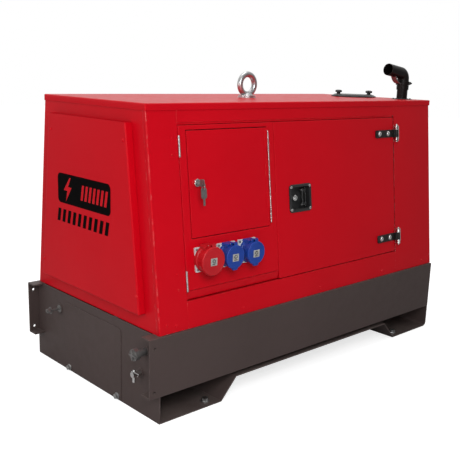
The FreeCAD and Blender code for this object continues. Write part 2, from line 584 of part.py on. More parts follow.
node("control_flap", cut(fuse(flap, *(ret + knm + leafm)), bore, rod(9.2, 20, kx0, -8, kv, "y")), "front")
node("flap_hinge_fixed", group(*[fuse(wire, *(knf + leaff))]), "front")

node("flap_lock", cut(fuse(rod(11, 6, kx0, 0, kv, "-y"), rod(9, 17, kx0, -1, kv, "y"), rod(8, 2, kx0, -6, kv, "-y")), box(kx0 - 5, kx0 + 5, -9, -7, kv - 1, kv + 1)), "front")
bow = soften(box(kx0 - 1.4, kx0 + 1.4, -36, -15, kv - 11, kv + 11), (1, 0, 0), 6)
node("door_key", cut(fuse(bow, box(kx0 - 1, kx0 + 1, -17, -8.3, kv - 3.6, kv + 3.6)), rod(2.6, 10, kx0 - 5, -31, kv - 4, "x")), "front")
sb = soften(box(kx0 - 10.5, kx0 + 10.5, -32.4, -29.6, kv - 46, kv - 14), (0, 1, 0), 7)
loopo = fuse(rod(1.1, 14, kx0 - 7, -31, kv - 4, "x"), box(kx0 - 7, kx0 - 5, -32, -30, kv - 18, kv - 3), box(kx0 + 5, kx0 + 7, -32, -30, kv - 18, kv - 3))
node("spare_key", fuse(sb, box(kx0 - 3.4, kx0 + 3.4, -32, -30, kv - 66, kv - 45), loopo), "front")

# ---------------------------------------------------------------- industrial sockets on the control door
sz, sf, sp, fs = q("socket_z"), q("socket_first"), q("socket_pitch"), q("flange_side")
sv = (sz - bt) / math.cos(math.radians(TABLE["lean_angle"]))
plates = []
for i in range(3):
    cx = sf + sp * i
    p = soften(box(cx - fs / 2, cx + fs / 2, -4, 0, sv - fs / 2, sv + fs / 2), (0, 1, 0), 4)
    scr = [stud(cx + 30 * a, -3.9, sv + 30 * c, "-y", 3.2, 1.8) for a in (-1, 1) for c in (-1, 1)]
    plates.append(fuse(p, *scr))
node("socket_flanges", group(*plates), "front")


def housing(cx, r, cavity, lidr):
    tool = doc.addObject("Part::Box", tag("lean"))
    tool.Length, tool.Width, tool.Height = 700, 100, 500
    rot = FreeCAD.Rotation(FreeCAD.Vector(-1, 0, 0), TABLE["lean_angle"])
    base = FreeCAD.Vector(-50, -TABLE["canopy_half_bottom"], TABLE["base_top"]) + rot.multVec(FreeCAD.Vector(0, -4.15, 0))
    tool.Placement = FreeCAD.Placement(base, rot)
    m = -q("socket_mouth")
    z0 = sz + lidr + 3.5
    tube = fuse(rod(r, 50, cx, m, sz, "y"), rod(r + 2.5, 6, cx, m, sz, "y"),
                box(cx - 13, cx - 8, m, m + 8, sz + r - 6, z0 + 4), box(cx + 8, cx + 13, m, m + 8, sz + r - 6, z0 + 4),
                rod(2, 26, cx - 13, -q("lid_axis_y"), z0, "x"))
    return cut(tube, tool, rod(cavity, 23, cx, m - 0.5, sz, "y"))


def cap(cx, r):
    m = -q("socket_mouth") - 0.5
    z0 = sz + r + 3.5
    k = fuse(rod(r, q("lid_thickness") - 3, cx, m, sz, "-y"), dome(r, r - 3, 3, cx, m - (q("lid_thickness") - 3), sz, "-y"),
             box(cx - 7.4, cx + 7.4, m - 7, -q("lid_axis_y") + 3.1, z0 - 3.5, z0 + 4), box(cx - 7.4, cx + 7.4, m - 7, m, z0 - 14, z0 + 4),
             box(cx - 9, cx + 9, m - 7, m, sz - r - 4, sz - r + 5))
    return cut(k, rod(2.05, 40, cx - 20, -q("lid_axis_y"), z0, "x"))


node("socket_red_body", housing(sf, q("red_radius"), q("red_cavity"), q("red_lid")))
node("socket_blue_bodies", group(*[housing(sf + sp * i, q("blue_radius"), q("blue_cavity"), q("blue_lid")) for i in (1, 2)]))
node("socket_red_lid", cap(sf, q("red_lid")))
node("socket_blue_lid_left", cap(sf + sp, q("blue_lid")))
node("socket_blue_lid_right", cap(sf + sp * 2, q("blue_lid")))

# ---------------------------------------------------------------- engine, generator, cooling, battery
eng = [soften(box(640, 1050, -150, 150, 330, 600), (1, 0, 0), 15), box(650, 1040, -110, 110, 598, 676), box(665, 1025, -120, 120, 284, 332),
       rod(55, 30, 1049, 0, 540, "x"), rod(12, 130, 1060, 0, 540, "x")]
for x in (710, 940):
    eng.append(box(x - 25, x + 25, -228, 228, 264.2, 332))
node("engine_block", fuse(*eng))
node("alternator", fuse(rod(148, 300, 336, 0, 470, "x"), rod(120, 18, 319, 0, 470, "x"), box(395, 445, -110, 110, 264.2, 345)))
node("radiator", fuse(box(1240, 1300, -220, 220, 300, 770), box(1234, 1306, -215, 215, 768, 800), rod(22, 60, hx, hy, 798, "z")))
blades = [rod(45, 40, 1150, 0, 540, "x")]
for i in range(6):
    blade = doc.addObject("Part::Box", tag("blade"))
    blade.Length, blade.Width, blade.Height = 6, 62, 150
    rot = FreeCAD.Rotation(FreeCAD.Vector(1, 0, 0), 60 * i)
    tilt = FreeCAD.Rotation(FreeCAD.Vector(0, 0, 1), 28)
    blade.Placement = FreeCAD.Placement(FreeCAD.Vector(1170, 0, 540), rot).multiply(FreeCAD.Placement(FreeCAD.Vector(-16, -20, 30), tilt))
    blades.append(blade)
node("cooling_fan", cut(fuse(*blades), rod(12.05, 60, 1140, 0, 540, "x")))
node("battery", fuse(soften(box(60, 300, 165, 305, 272, 452), (0, 0, 1), 8), rod(9, 14, 90, 200, 450, "z"), rod(9, 14, 270, 200, 450, "z")))

doc.recompute()

bad = []
for o in doc.Objects:
    state = [s for s in o.State if s in ("Invalid", "Error")]
    if state:
        bad.append("%s (%s) %s" % (o.Name, o.Label, state))
for name, o in NODES.items():
    if o.Shape.isNull() or not o.Shape.isValid():
        bad.append("%s has no valid shape" % name)
    if not o.Shape.Solids:
        bad.append("%s has no solid" % name)
if bad:
    raise RuntimeError("failed objects: " + "; ".join(bad))
if len(NODES) > 60:
    print("too many nodes", len(NODES))

os.makedirs("parts", exist_ok=True)
for name, o in NODES.items():
    o.Shape.exportStep("parts/%s.step" % name)
    bb = o.Shape.BoundBox
    print("%-24s solids %2d vol %12.0f  x %8.1f %8.1f  y %8.1f %8.1f  z %8.1f %8.1f" % (
        name, len(o.Shape.Solids), o.Shape.Volume, bb.XMin, bb.XMax, bb.YMin, bb.YMax, bb.ZMin, bb.ZMax))
print("nodes", len(NODES))
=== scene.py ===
import json
import math
import bpy
import bmesh
from mathutils import Matrix, Vector


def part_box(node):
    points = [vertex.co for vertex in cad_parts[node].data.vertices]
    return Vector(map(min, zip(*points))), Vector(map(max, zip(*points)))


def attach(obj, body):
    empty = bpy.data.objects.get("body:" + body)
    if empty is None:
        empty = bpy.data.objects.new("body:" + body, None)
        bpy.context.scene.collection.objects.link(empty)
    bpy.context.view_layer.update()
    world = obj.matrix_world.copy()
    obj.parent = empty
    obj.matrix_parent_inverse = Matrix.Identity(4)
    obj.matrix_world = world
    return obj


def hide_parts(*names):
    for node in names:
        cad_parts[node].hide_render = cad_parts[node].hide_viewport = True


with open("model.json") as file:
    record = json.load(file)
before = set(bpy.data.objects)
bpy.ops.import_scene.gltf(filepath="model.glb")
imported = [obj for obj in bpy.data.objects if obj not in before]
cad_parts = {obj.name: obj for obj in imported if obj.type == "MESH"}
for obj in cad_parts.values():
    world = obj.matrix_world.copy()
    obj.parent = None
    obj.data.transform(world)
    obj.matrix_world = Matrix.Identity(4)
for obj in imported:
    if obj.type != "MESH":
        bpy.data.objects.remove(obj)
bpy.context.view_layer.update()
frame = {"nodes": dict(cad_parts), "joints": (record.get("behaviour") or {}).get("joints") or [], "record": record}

scene = bpy.context.scene
MM = 0.001

# ------------------------------------------------------------------ the leaning control side
joints = {j["name"]: j for j in frame["joints"]}
up = Vector(joints["service_door_hinge"]["axis"]).normalized()
C, S = up.z, up.y
lo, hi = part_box("corner_panel_left")
X0, Y0, Z0 = lo.x, lo.y, lo.z + 2 * MM * S


def front(x, n, v):
    """x along the machine, n inward, v up the slope, in mm, from the lower left corner of the control side."""
    return Vector((X0 + x * MM, Y0 + (C * n + S * v) * MM, Z0 + (-S * n + C * v) * MM))


OUT = Vector((0, -C, S))
AX = Vector((1, 0, 0))


def local(p):
    d = Vector(p) - Vector((X0, Y0, Z0))
    return d.x / MM, (C * d.y - S * d.z) / MM, (S * d.y + C * d.z) / MM


# ------------------------------------------------------------------ materials
def nodes_of(name):
    m = bpy.data.materials.new(name)
    m.use_nodes = True
    nt = m.node_tree
    for n in list(nt.nodes):
        nt.nodes.remove(n)
    out = nt.nodes.new("ShaderNodeOutputMaterial")
    b = nt.nodes.new("ShaderNodeBsdfPrincipled")
    nt.links.new(b.outputs[0], out.inputs[0])
    return m, nt, b


def noise(nt, co, scale, detail=3.0, rough=0.55, stretch=None):
    src = co
    if stretch:
        mp = nt.nodes.new("ShaderNodeMapping")
        mp.inputs["Scale"].default_value = stretch
        nt.links.new(co, mp.inputs["Vector"])
        src = mp.outputs[0]
    n = nt.nodes.new("ShaderNodeTexNoise")
    n.inputs["Scale"].default_value = scale
    n.inputs["Detail"].default_value = detail
    n.inputs["Roughness"].default_value = rough
    nt.links.new(src, n.inputs["Vector"])
    return n.outputs["Fac"]


def ramp(nt, fac, lo_pos, hi_pos, lo_val, hi_val):
    r = nt.nodes.new("ShaderNodeMapRange")
    r.inputs["From Min"].default_value = lo_pos
    r.inputs["From Max"].default_value = hi_pos
    r.inputs["To Min"].default_value = lo_val
    r.inputs["To Max"].default_value = hi_val
    nt.links.new(fac, r.inputs["Value"])
    return r.outputs[0]


def mix(nt, fac, a, b):
    m = nt.nodes.new("ShaderNodeMix")
    m.data_type = "RGBA"
    for sock, v in ((m.inputs[6], a), (m.inputs[7], b)):
        if hasattr(v, "links"):
            nt.links.new(v, sock)
        else:
            sock.default_value = (*v, 1)
    nt.links.new(fac, m.inputs[0])
    return m.outputs[2]


def surface(name, base, shade, rough=(0.3, 0.4), metal=0.0, coat=0.0, coat_rough=0.08, spec=0.5,
            peel=(180.0, 0.02), grain=None, edge_wear_and_highlight=None, dust=0.0, brushed=None, var_scale=2.5, ior=1.5):
    """One procedural finish: colour drift, roughness drift, fine relief, lightened edges (worn edges on most finishes,
    a painted edge highlight on the red canopy sheets) and settled dust.
    """
    m, nt, b = nodes_of(name)
    tc = nt.nodes.new("ShaderNodeTexCoord")
    co = tc.outputs["Object"]
    big = noise(nt, co, var_scale, 3.0)
    mid = noise(nt, co, var_scale * 14, 4.0)
    col = mix(nt, ramp(nt, big, 0.35, 0.65, 0.0, 1.0), base, shade)
    speck = noise(nt, co, 420.0, 2.0)
    dark = tuple(c * 0.82 for c in base)
    col = mix(nt, ramp(nt, speck, 0.55, 0.8, 0.0, 0.35), col, dark)
    rsrc = ramp(nt, mid, 0.3, 0.7, rough[0], rough[1])
    # edges found by the Bevel node are lightened in the base colour: worn edges on most finishes, a painted highlight
    # on the red canopy paint
    if edge_wear_and_highlight:
        geo = nt.nodes.new("ShaderNodeNewGeometry")
        bev = nt.nodes.new("ShaderNodeBevel")
        bev.samples = 4
        bev.inputs["Radius"].default_value = edge_wear_and_highlight[1]
        dot = nt.nodes.new("ShaderNodeVectorMath")
        dot.operation = "DOT_PRODUCT"
        nt.links.new(geo.outputs["Normal"], dot.inputs[0])
        nt.links.new(bev.outputs[0], dot.inputs[1])
        edge = ramp(nt, dot.outputs["Value"], 0.985, 0.80, 0.0, 1.0)
        brk = ramp(nt, noise(nt, co, 55.0, 4.0, 0.7), 0.48, 0.60, 0.0, edge_wear_and_highlight[2])
        mul = nt.nodes.new("ShaderNodeMath")
        mul.operation = "MULTIPLY"
        mul.use_clamp = True
        nt.links.new(edge, mul.inputs[0])
        nt.links.new(brk, mul.inputs[1])
        col = mix(nt, mul.outputs[0], col, edge_wear_and_highlight[0])
    if dust:
        geo2 = nt.nodes.new("ShaderNodeNewGeometry")
        sep = nt.nodes.new("ShaderNodeSeparateXYZ")
        nt.links.new(geo2.outputs["Normal"], sep.inputs[0])
        upf = ramp(nt, sep.outputs[2], 0.55, 1.0, 0.0, dust)
        dn = ramp(nt, noise(nt, co, 9.0, 5.0, 0.65), 0.35, 0.7, 0.3, 1.0)
        mul2 = nt.nodes.new("ShaderNodeMath")
        mul2.operation = "MULTIPLY"
        mul2.use_clamp = True
        nt.links.new(upf, mul2.inputs[0])
        nt.links.new(dn, mul2.inputs[1])
        col = mix(nt, mul2.outputs[0], col, (0.42, 0.38, 0.34))
    nt.links.new(col, b.inputs["Base Color"])
    nt.links.new(rsrc, b.inputs["Roughness"])
    b.inputs["Metallic"].default_value = metal
    b.inputs["IOR"].default_value = ior
    b.inputs["Specular IOR Level"].default_value = spec
    b.inputs["Coat Weight"].default_value = coat
    b.inputs["Coat Roughness"].default_value = coat_rough
    height = noise(nt, co, peel[0], 2.0)
    bump = nt.nodes.new("ShaderNodeBump")
    bump.inputs["Strength"].default_value = 1.0
    bump.inputs["Distance"].default_value = peel[1] * MM
    nt.links.new(height, bump.inputs["Height"])
    last = bump
    if grain:
        h2 = noise(nt, co, grain[0], 4.0, 0.7)
        b2 = nt.nodes.new("ShaderNodeBump")
        b2.inputs["Distance"].default_value = grain[1] * MM
        nt.links.new(h2, b2.inputs["Height"])
        nt.links.new(last.outputs[0], b2.inputs["Normal"])
        last = b2
    if brushed:
        h3 = noise(nt, co, 90.0, 2.0, 0.6, stretch=brushed)
        b3 = nt.nodes.new("ShaderNodeBump")
        b3.inputs["Distance"].default_value = 0.02 * MM
        nt.links.new(h3, b3.inputs["Height"])
        nt.links.new(last.outputs[0], b3.inputs["Normal"])
        last = b3
    nt.links.new(last.outputs[0], b.inputs["Normal"])
    return m


# the red paint's light edge colour is a painted highlight along the panel and door edges
RED = surface("canopy_red", (0.560, 0.0015, 0.009), (0.525, 0.0010, 0.008), rough=(0.32, 0.40), coat=0.02, coat_rough=0.12,
              peel=(260.0, 0.008), spec=0.10, edge_wear_and_highlight=((0.82, 0.13, 0.10), 0.0016, 0.8), dust=0.03)
# the fold's near-white edge colour is a painted highlight along the canopy's corner bends
RED_FOLD = surface("canopy_red_fold", (0.560, 0.0015, 0.009), (0.525, 0.0010, 0.008), rough=(0.30, 0.38), coat=0.03, coat_rough=0.10,
                   peel=(260.0, 0.006), spec=0.10, edge_wear_and_highlight=((0.95, 0.62, 0.58), 0.0030, 1.6))
GLOSS = surface("gloss_black", (0.008, 0.008, 0.008), (0.012, 0.012, 0.012), rough=(0.16, 0.26), coat=0.5, coat_rough=0.08, peel=(500.0, 0.006),
                edge_wear_and_highlight=((0.30, 0.30, 0.30), 0.0010, 0.6))
BROWN = surface("base_brown", (0.070, 0.049, 0.046), (0.064, 0.045, 0.042), rough=(0.42, 0.55), peel=(300.0, 0.015), spec=0.22,
                grain=(900.0, 0.012), edge_wear_and_highlight=((0.24, 0.21, 0.20), 0.0018, 0.7), dust=0.10)
ZINC = surface("zinc", (0.60, 0.60, 0.59), (0.47, 0.48, 0.49), rough=(0.28, 0.46), metal=1.0, peel=(700.0, 0.015), var_scale=60.0,
               edge_wear_and_highlight=((0.85, 0.85, 0.84), 0.0008, 0.8))
CHROME = surface("bright_steel", (0.78, 0.78, 0.77), (0.70, 0.70, 0.70), rough=(0.10, 0.22), metal=1.0, peel=(500.0, 0.004), brushed=(1, 1, 14))
BLACKP = surface("black_paint", (0.012, 0.011, 0.011), (0.017, 0.015, 0.015), rough=(0.30, 0.42), coat=0.03, peel=(400.0, 0.012), spec=0.22,
                 edge_wear_and_highlight=((0.22, 0.21, 0.20), 0.0012, 0.8), dust=0.05)
BLACK = surface("black_plastic", (0.014, 0.014, 0.015), (0.020, 0.020, 0.021), rough=(0.34, 0.5), peel=(900.0, 0.02), grain=(2600.0, 0.012), dust=0.08)
GREY = surface("grey_plastic", (0.58, 0.60, 0.61), (0.50, 0.52, 0.53), rough=(0.36, 0.48), peel=(700.0, 0.015), var_scale=20.0, dust=0.05)
REDP = surface("red_plastic", (0.47, 0.010, 0.016), (0.42, 0.007, 0.013), rough=(0.26, 0.36), spec=0.22, coat=0.03, peel=(600.0, 0.012), var_scale=20.0)
BLUEP = surface("blue_plastic", (0.012, 0.050, 0.30), (0.009, 0.042, 0.26), rough=(0.26, 0.38), spec=0.25, coat=0.03, peel=(600.0, 0.012), var_scale=20.0)
BRASS = surface("brass", (0.58, 0.46, 0.26), (0.50, 0.40, 0.24), rough=(0.22, 0.38), metal=1.0, peel=(500.0, 0.01), var_scale=40.0)
EXH = surface("exhaust_black", (0.007, 0.005, 0.005), (0.011, 0.008, 0.007), rough=(0.24, 0.42), spec=0.14, peel=(500.0, 0.03), grain=(1500.0, 0.02), var_scale=18.0,
              edge_wear_and_highlight=((0.12, 0.09, 0.08), 0.0010, 0.7))
IRON = surface("cast_iron", (0.11, 0.125, 0.14), (0.08, 0.09, 0.10), rough=(0.45, 0.65), peel=(350.0, 0.12), grain=(900.0, 0.05), var_scale=8.0, dust=0.1)
ALU = surface("aluminium", (0.55, 0.56, 0.57), (0.45, 0.46, 0.47), rough=(0.35, 0.5), metal=1.0, peel=(600.0, 0.02), var_scale=30.0)
PANEL = surface("panel_grey", (0.20, 0.21, 0.22), (0.17, 0.18, 0.19), rough=(0.4, 0.52), peel=(600.0, 0.015), grain=(1800.0, 0.01))
TANK = surface("tank_plastic", (0.022, 0.022, 0.022), (0.035, 0.034, 0.033), rough=(0.45, 0.6), peel=(200.0, 0.08), grain=(1200.0, 0.02), dust=0.15)
INK = surface("emblem_black", (0.0016, 0.0014, 0.0014), (0.0024, 0.0020, 0.0020), rough=(0.5, 0.6), peel=(260.0, 0.008), spec=0.02)
LABEL = surface("label_silver", (0.42, 0.42, 0.40), (0.30, 0.30, 0.29), rough=(0.35, 0.5), peel=(900.0, 0.01), var_scale=120.0)
WHITE = surface("dial_white", (0.70, 0.70, 0.66), (0.64, 0.64, 0.60), rough=(0.35, 0.45), peel=(900.0, 0.004), var_scale=30.0)
KEYGREY = surface("key_grey", (0.17, 0.165, 0.16), (0.23, 0.225, 0.22), rough=(0.30, 0.45), metal=0.7, peel=(900.0, 0.02), var_scale=80.0)
FOAM = surface("sound_foam", (0.030, 0.030, 0.031), (0.042, 0.042, 0.043), rough=(0.85, 0.95), peel=(500.0, 0.4), grain=(1500.0, 0.2), spec=0.2)
RUBBER = surface("black_rubber", (0.016, 0.016, 0.016), (0.024, 0.024, 0.024), rough=(0.6, 0.75), peel=(500.0, 0.05), spec=0.35)

SLOT_MAT = {"canopy_red": RED, "base_brown": BROWN, "zinc": ZINC, "bright_steel": CHROME, "black_paint": BLACKP, "black_plastic": BLACK,
            "grey_plastic": GREY, "red_plastic": REDP, "blue_plastic": BLUEP, "brass": BRASS, "dark_steel": EXH, "cast_iron": IRON, "alu": ALU,
            "panel_grey": PANEL, "tank_plastic": TANK}
slot_of = {s["node"]: s["material_slot"] for s in frame["record"]["subparts"]}

ROUND = {"skid_pan": 1.6, "base_rail_front": 2.2, "base_rail_rear": 2.2, "base_end_plate": 1.4, "base_access_cover": 0.9, "roof_panel": 1.1,
         "fuel_tank": 3.0, "engine_block": 5.0, "alternator": 3.0, "radiator": 3.0, "battery": 3.0, "hatch_cover": 0.8, "door_hinge_straps": 1.0,
         "door_hinge_brackets": 0.8, "lifting_eye": 1.2, "latch_dish": 0.8, "latch_handle": 1.4, "door_key": 0.5, "spare_key": 0.5}


def finish_cad(o, width):
    """Weld the split corners, round the sheet edges a little, and shade smoothly."""
    w = o.modifiers.new("weld", "WELD")
    w.merge_threshold = 1e-5
    if width:
        b = o.modifiers.new("round", "BEVEL")
        b.width = width * MM
        b.segments = 2
        b.limit_method = "ANGLE"
        b.angle_limit = math.radians(40)
        b.use_clamp_overlap = True
        b.harden_normals = False
    wn = o.modifiers.new("normals", "WEIGHTED_NORMAL")
    wn.keep_sharp = True
    wn.weight = 60


for name, o in frame["nodes"].items():
    m = SLOT_MAT[slot_of[name]]
    o.data.materials.clear()
    o.data.materials.append(m)
    finish_cad(o, ROUND.get(name, 0.5))


# ------------------------------------------------------------------ mesh helpers
def add(name, bm, mat, body, smooth=True, bevel=0.0, segs=3, angle=35, solid=0.0, replaces=(), subsurf=0, sharp=32):
    bmesh.ops.remove_doubles(bm, verts=bm.verts, dist=1e-6)
    me = bpy.data.meshes.new(name)
    bm.to_mesh(me)
    bm.free()
    o = bpy.data.objects.new(name, me)
    scene.collection.objects.link(o)
    me.materials.append(mat)
    if smooth:
        for p in me.polygons:
            p.use_smooth = True
        me.set_sharp_from_angle(angle=math.radians(sharp))
    if bevel:
        b = o.modifiers.new("round", "BEVEL")
        b.width = bevel * MM
        b.segments = segs
        b.limit_method = "ANGLE"
        b.angle_limit = math.radians(angle)
        b.use_clamp_overlap = True
    if solid:
        s = o.modifiers.new("thick", "SOLIDIFY")
        s.thickness = solid * MM
        s.offset = -1
    if subsurf:
        u = o.modifiers.new("sub", "SUBSURF")
        u.levels = subsurf
        u.render_levels = subsurf
    if bevel:
        w = o.modifiers.new("normals", "WEIGHTED_NORMAL")
        w.keep_sharp = True
        w.weight = 70
    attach(o, body)
    if replaces:
        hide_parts(*replaces)
    return o


def frame_of(axis, spin=None):
    z = Vector(axis).normalized()
    x = Vector(spin) if spin is not None else (Vector((1, 0, 0)) if abs(z.x) < 0.9 else Vector((0, 1, 0)))
    x = (x - z * x.dot(z)).normalized()
    y = z.cross(x)
    return Matrix((x, y, z)).transposed()


def lathe(bm, centre, axis, profile, seg=48, spin=None, ripple=None):
    """Revolve (radius, height) pairs in mm about an axis. ripple(a, r, h) may change the radius."""
    f = frame_of(axis, spin)
    c = Vector(centre)
    rings = []
    for r, h in profile:
        if r <= 1e-6:
            rings.append([bm.verts.new(c + f @ Vector((0, 0, h * MM)))])
            continue
        ring = []
        for k in range(seg):
            a = 2 * math.pi * k / seg
            rr = ripple(a, r, h) if ripple else r
            ring.append(bm.verts.new(c + f @ Vector((rr * math.cos(a) * MM, rr * math.sin(a) * MM, h * MM))))
        rings.append(ring)
    for a, b in zip(rings, rings[1:]):
        if len(a) == 1 and len(b) == 1:
            continue
        if len(a) == 1:
            for k in range(seg):
                bm.faces.new((a[0], b[k], b[(k + 1) % seg]))
        elif len(b) == 1:
            for k in range(seg):
                bm.faces.new((a[(k + 1) % seg], a[k], b[0]))
        else:
            for k in range(seg):
                bm.faces.new((a[k], b[k], b[(k + 1) % seg], a[(k + 1) % seg]))
    return bm


def prism(bm, outline, to, depth0, depth1):
    """Extrude a closed outline of (a, b) from depth0 to depth1; to(a, b, d) gives the place."""
    lowv = [bm.verts.new(to(a, b, depth0)) for a, b in outline]
    topv = [bm.verts.new(to(a, b, depth1)) for a, b in outline]
    n = len(outline)
    bm.faces.new(list(reversed(lowv)))
    bm.faces.new(topv)
    for i in range(n):
        bm.faces.new((lowv[i], lowv[(i + 1) % n], topv[(i + 1) % n], topv[i]))
    return bm


def fix(bm):
    bmesh.ops.recalc_face_normals(bm, faces=bm.faces)
    return bm


def rrect(x0, x1, y0, y1, r, seg=6):
    pts = []
    for cx, cy, a0 in ((x1 - r, y1 - r, 0), (x0 + r, y1 - r, 90), (x0 + r, y0 + r, 180), (x1 - r, y0 + r, 270)):
        for k in range(seg + 1):
            a = math.radians(a0 + 90 * k / seg)
            pts.append((cx + r * math.cos(a), cy + r * math.sin(a)))
    return pts


def tray(name, to, outer, depth, mat, body, holes=(), hole_depth=0.0, t=2.0, r=3.0, replaces=(), out=None, lip=0.0):
    """A folded sheet tray: a flat face with holes, walls turned in all round, rounded folds."""
    bm = bmesh.new()
    loops = []
    edges = []
    for loop in [outer] + list(holes):
        vs = [bm.verts.new(to(a, b, 0)) for a, b in loop]
        loops.append(vs)
        for i in range(len(vs)):
            edges.append(bm.edges.new((vs[i], vs[(i + 1) % len(vs)])))
    bmesh.ops.triangle_fill(bm, use_beauty=True, use_dissolve=False, edges=edges)
    outward = (to(0, 0, -1) - to(0, 0, 0)).normalized()
    for f in bm.faces:
        f.normal_update()
        if f.normal.dot(outward) < 0:
            f.normal_flip()
    depths = [depth] + [hole_depth] * len(holes)
    for (vs, pts, d) in zip(loops, [outer] + list(holes), depths):
        if not d:
            continue
        low = [bm.verts.new(to(a, b, d)) for a, b in pts]
        n = len(vs)
        cx = sum(p[0] for p in pts) / n
        cy = sum(p[1] for p in pts) / n
        faces = []
        for i in range(n):
            faces.append(bm.faces.new((vs[i], vs[(i + 1) % n], low[(i + 1) % n], low[i])))
        hole = vs is not loops[0]
        for i, f in enumerate(faces):
            f.normal_update()
            a, b = (pts[i][0] + pts[(i + 1) % n][0]) / 2, (pts[i][1] + pts[(i + 1) % n][1]) / 2
            away = to(a, b, 0) - to(cx, cy, 0)
            if (f.normal.dot(away) < 0) != hole:
                f.normal_flip()
        if lip and not hole:
            inn = [bm.verts.new(to(cx + (a - cx) * (1 - lip / max(1, abs(a - cx))), cy + (b - cy) * (1 - lip / max(1, abs(b - cy))), d)) for a, b in pts]
            for i in range(n):
                f = bm.faces.new((low[i], low[(i + 1) % n], inn[(i + 1) % n], inn[i]))
                f.normal_update()
                if f.normal.dot(outward) > 0:
                    f.normal_flip()
    return add(name, bm, mat, body, bevel=r, segs=3, angle=45, solid=t, replaces=replaces)


# ------------------------------------------------------------------ sizes read from the frame
def loc_box(node):
    a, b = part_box(node)
    pts = [local(Vector((x, y, z))) for x in (a.x, b.x) for y in (a.y, b.y) for z in (a.z, b.z)]
    return a, b


sd0, sd1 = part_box("service_door")
cd0, cd1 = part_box("control_door")
cf0, cf1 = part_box("control_flap")
v_low, v_high = 85.0, 596.0
sdx0, sdx1 = (sd0.x - X0) / MM, (sd1.x - X0) / MM
cdx1 = (cd1.x - X0) / MM
cdx0 = (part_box("control_hinge_fixed")[0].x - X0) / MM + 34.0 + 1.5
SEAM_L = 108.0
cdx0 = SEAM_L + 1.5

# latch place from its dish
ld0, ld1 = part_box("latch_dish")
lx = ((ld0.x + ld1.x) / 2 - X0) / MM
LV = 342.0


# ------------------------------------------------------------------ red sheet metal
def rect(x0, x1, y0, y1):
    return [(x0, y0), (x1, y0), (x1, y1), (x0, y1)]


def on_front(a, b, d):
    return front(a, d, b)


tray("service_door_skin", on_front, rect(sdx0, sdx1, v_low, v_high), 20, RED, "service_door",
     holes=[rect(lx - 47.5, lx + 47.5, LV - 40, LV + 40)], hole_depth=4, r=2.6, replaces=("service_door",))
flx0, flx1, flv0, flv1 = 138.0, 467.0, 264.0, 582.0
tray("control_door_skin", on_front, rect(cdx0, cdx1, v_low + 27, v_high), 20, RED, "control_door",
     holes=[rect(flx0, flx1, flv0, flv1)], hole_depth=9, r=2.6, replaces=("control_door",))


def sweep_sheet(name, profile, a0, a1, place, mat, body, r=3.0, t=2.0, replaces=(), flip=False):
    """A bent sheet: profile points carried from a0 to a1."""
    bm = bmesh.new()
    rows = [[bm.verts.new(place(p, a)) for p in profile] for a in (a0, a1)]
    for i in range(len(profile) - 1):
        f = bm.faces.new((rows[0][i], rows[0][i + 1], rows[1][i + 1], rows[1][i]))
        if flip:
            f.normal_flip()
    return add(name, bm, mat, body, bevel=r, segs=3, angle=25, solid=t, replaces=replaces)


# the control door's chin, bevelled back to the sill
sweep_sheet("control_door_chin", [(20, 85.6), (8, 85.6), (0.3, 111.6)], cdx0 + 0.4, cdx1 - 0.4, lambda p, a: front(a, p[0], p[1]), RED, "control_door",
            r=1.5, t=1.6, flip=True)
bm = bmesh.new()
prism(bm, rect(109, 1148, 597.4, 604.6), lambda a, b, d: front(a, d, b), 3.0, 19.0)
add("header_return", fix(bm), RED, "base", bevel=0.8, segs=2)
# corner panels, folded round the canopy's front corners
sweep_sheet("corner_fold_left", [(106.5, 0), (-0.3, 0), (-0.3, 15)], 0.5, 646.2, lambda p, a: front(p[0], p[1], a), RED_FOLD, "base",
            r=3.2, t=1.9, replaces=("corner_panel_left",), flip=True)
LEN = (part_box("corner_panel_right")[1].x - X0) / MM
sweep_sheet("corner_fold_right", [(1149, 0), (LEN + 0.3, 0), (LEN + 0.3, 15)], 0.5, 646.2, lambda p, a: front(p[0], p[1], a), RED_FOLD, "base",
            r=4.5, t=1.9, replaces=("corner_panel_right",))
# roof tray
rp0, rp1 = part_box("roof_panel")
RT = rp1.z
hc0, hc1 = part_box("hatch_cover")
HX, HY = (hc0.x + hc1.x) / 2, (hc0.y + hc1.y) / 2
sr0, sr1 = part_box("exhaust_clamp")
EXX, EXY = 0.671, -0.185
le0, le1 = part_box("lifting_eye")
EX, EY = (le0.x + le1.x) / 2, 0.0


def circle(cx, cy, r, n=40):
    return [(cx + r * math.cos(2 * math.pi * k / n), cy + r * math.sin(2 * math.pi * k / n)) for k in range(n)]


tray("roof_skin", lambda a, b, d: Vector((a * MM, b * MM, RT - d * MM)), rect(rp0.x / MM, rp1.x / MM, rp0.y / MM, rp1.y / MM), 20, RED, "base",
     holes=[circle(HX / MM, HY / MM, 60), circle(EXX / MM, EXY / MM, 23), circle(EX / MM, EY, 12.5, 24)], hole_depth=0.0, t=2.0, r=3.6,
     replaces=("roof_panel",))

# flap over the instruments
tray("control_flap_skin", on_front, rect(140, 465.2, 266, 580), 12, RED, "control_flap", holes=[circle(167, 428, 9.2, 28)], hole_depth=1.5,
     t=1.5, r=2.4, replaces=("control_flap",))

# cowl on the control end
ac0, ac1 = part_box("air_cowl")
CX = ac0.x
cb, ct = ac0.z / MM, ac1.z / MM
by0 = -ac0.y / MM
by1 = by0 - 68.0
bm = bmesh.new()


def on_end(a, b, d):
    return Vector((CX + d * MM, a * MM, b * MM))


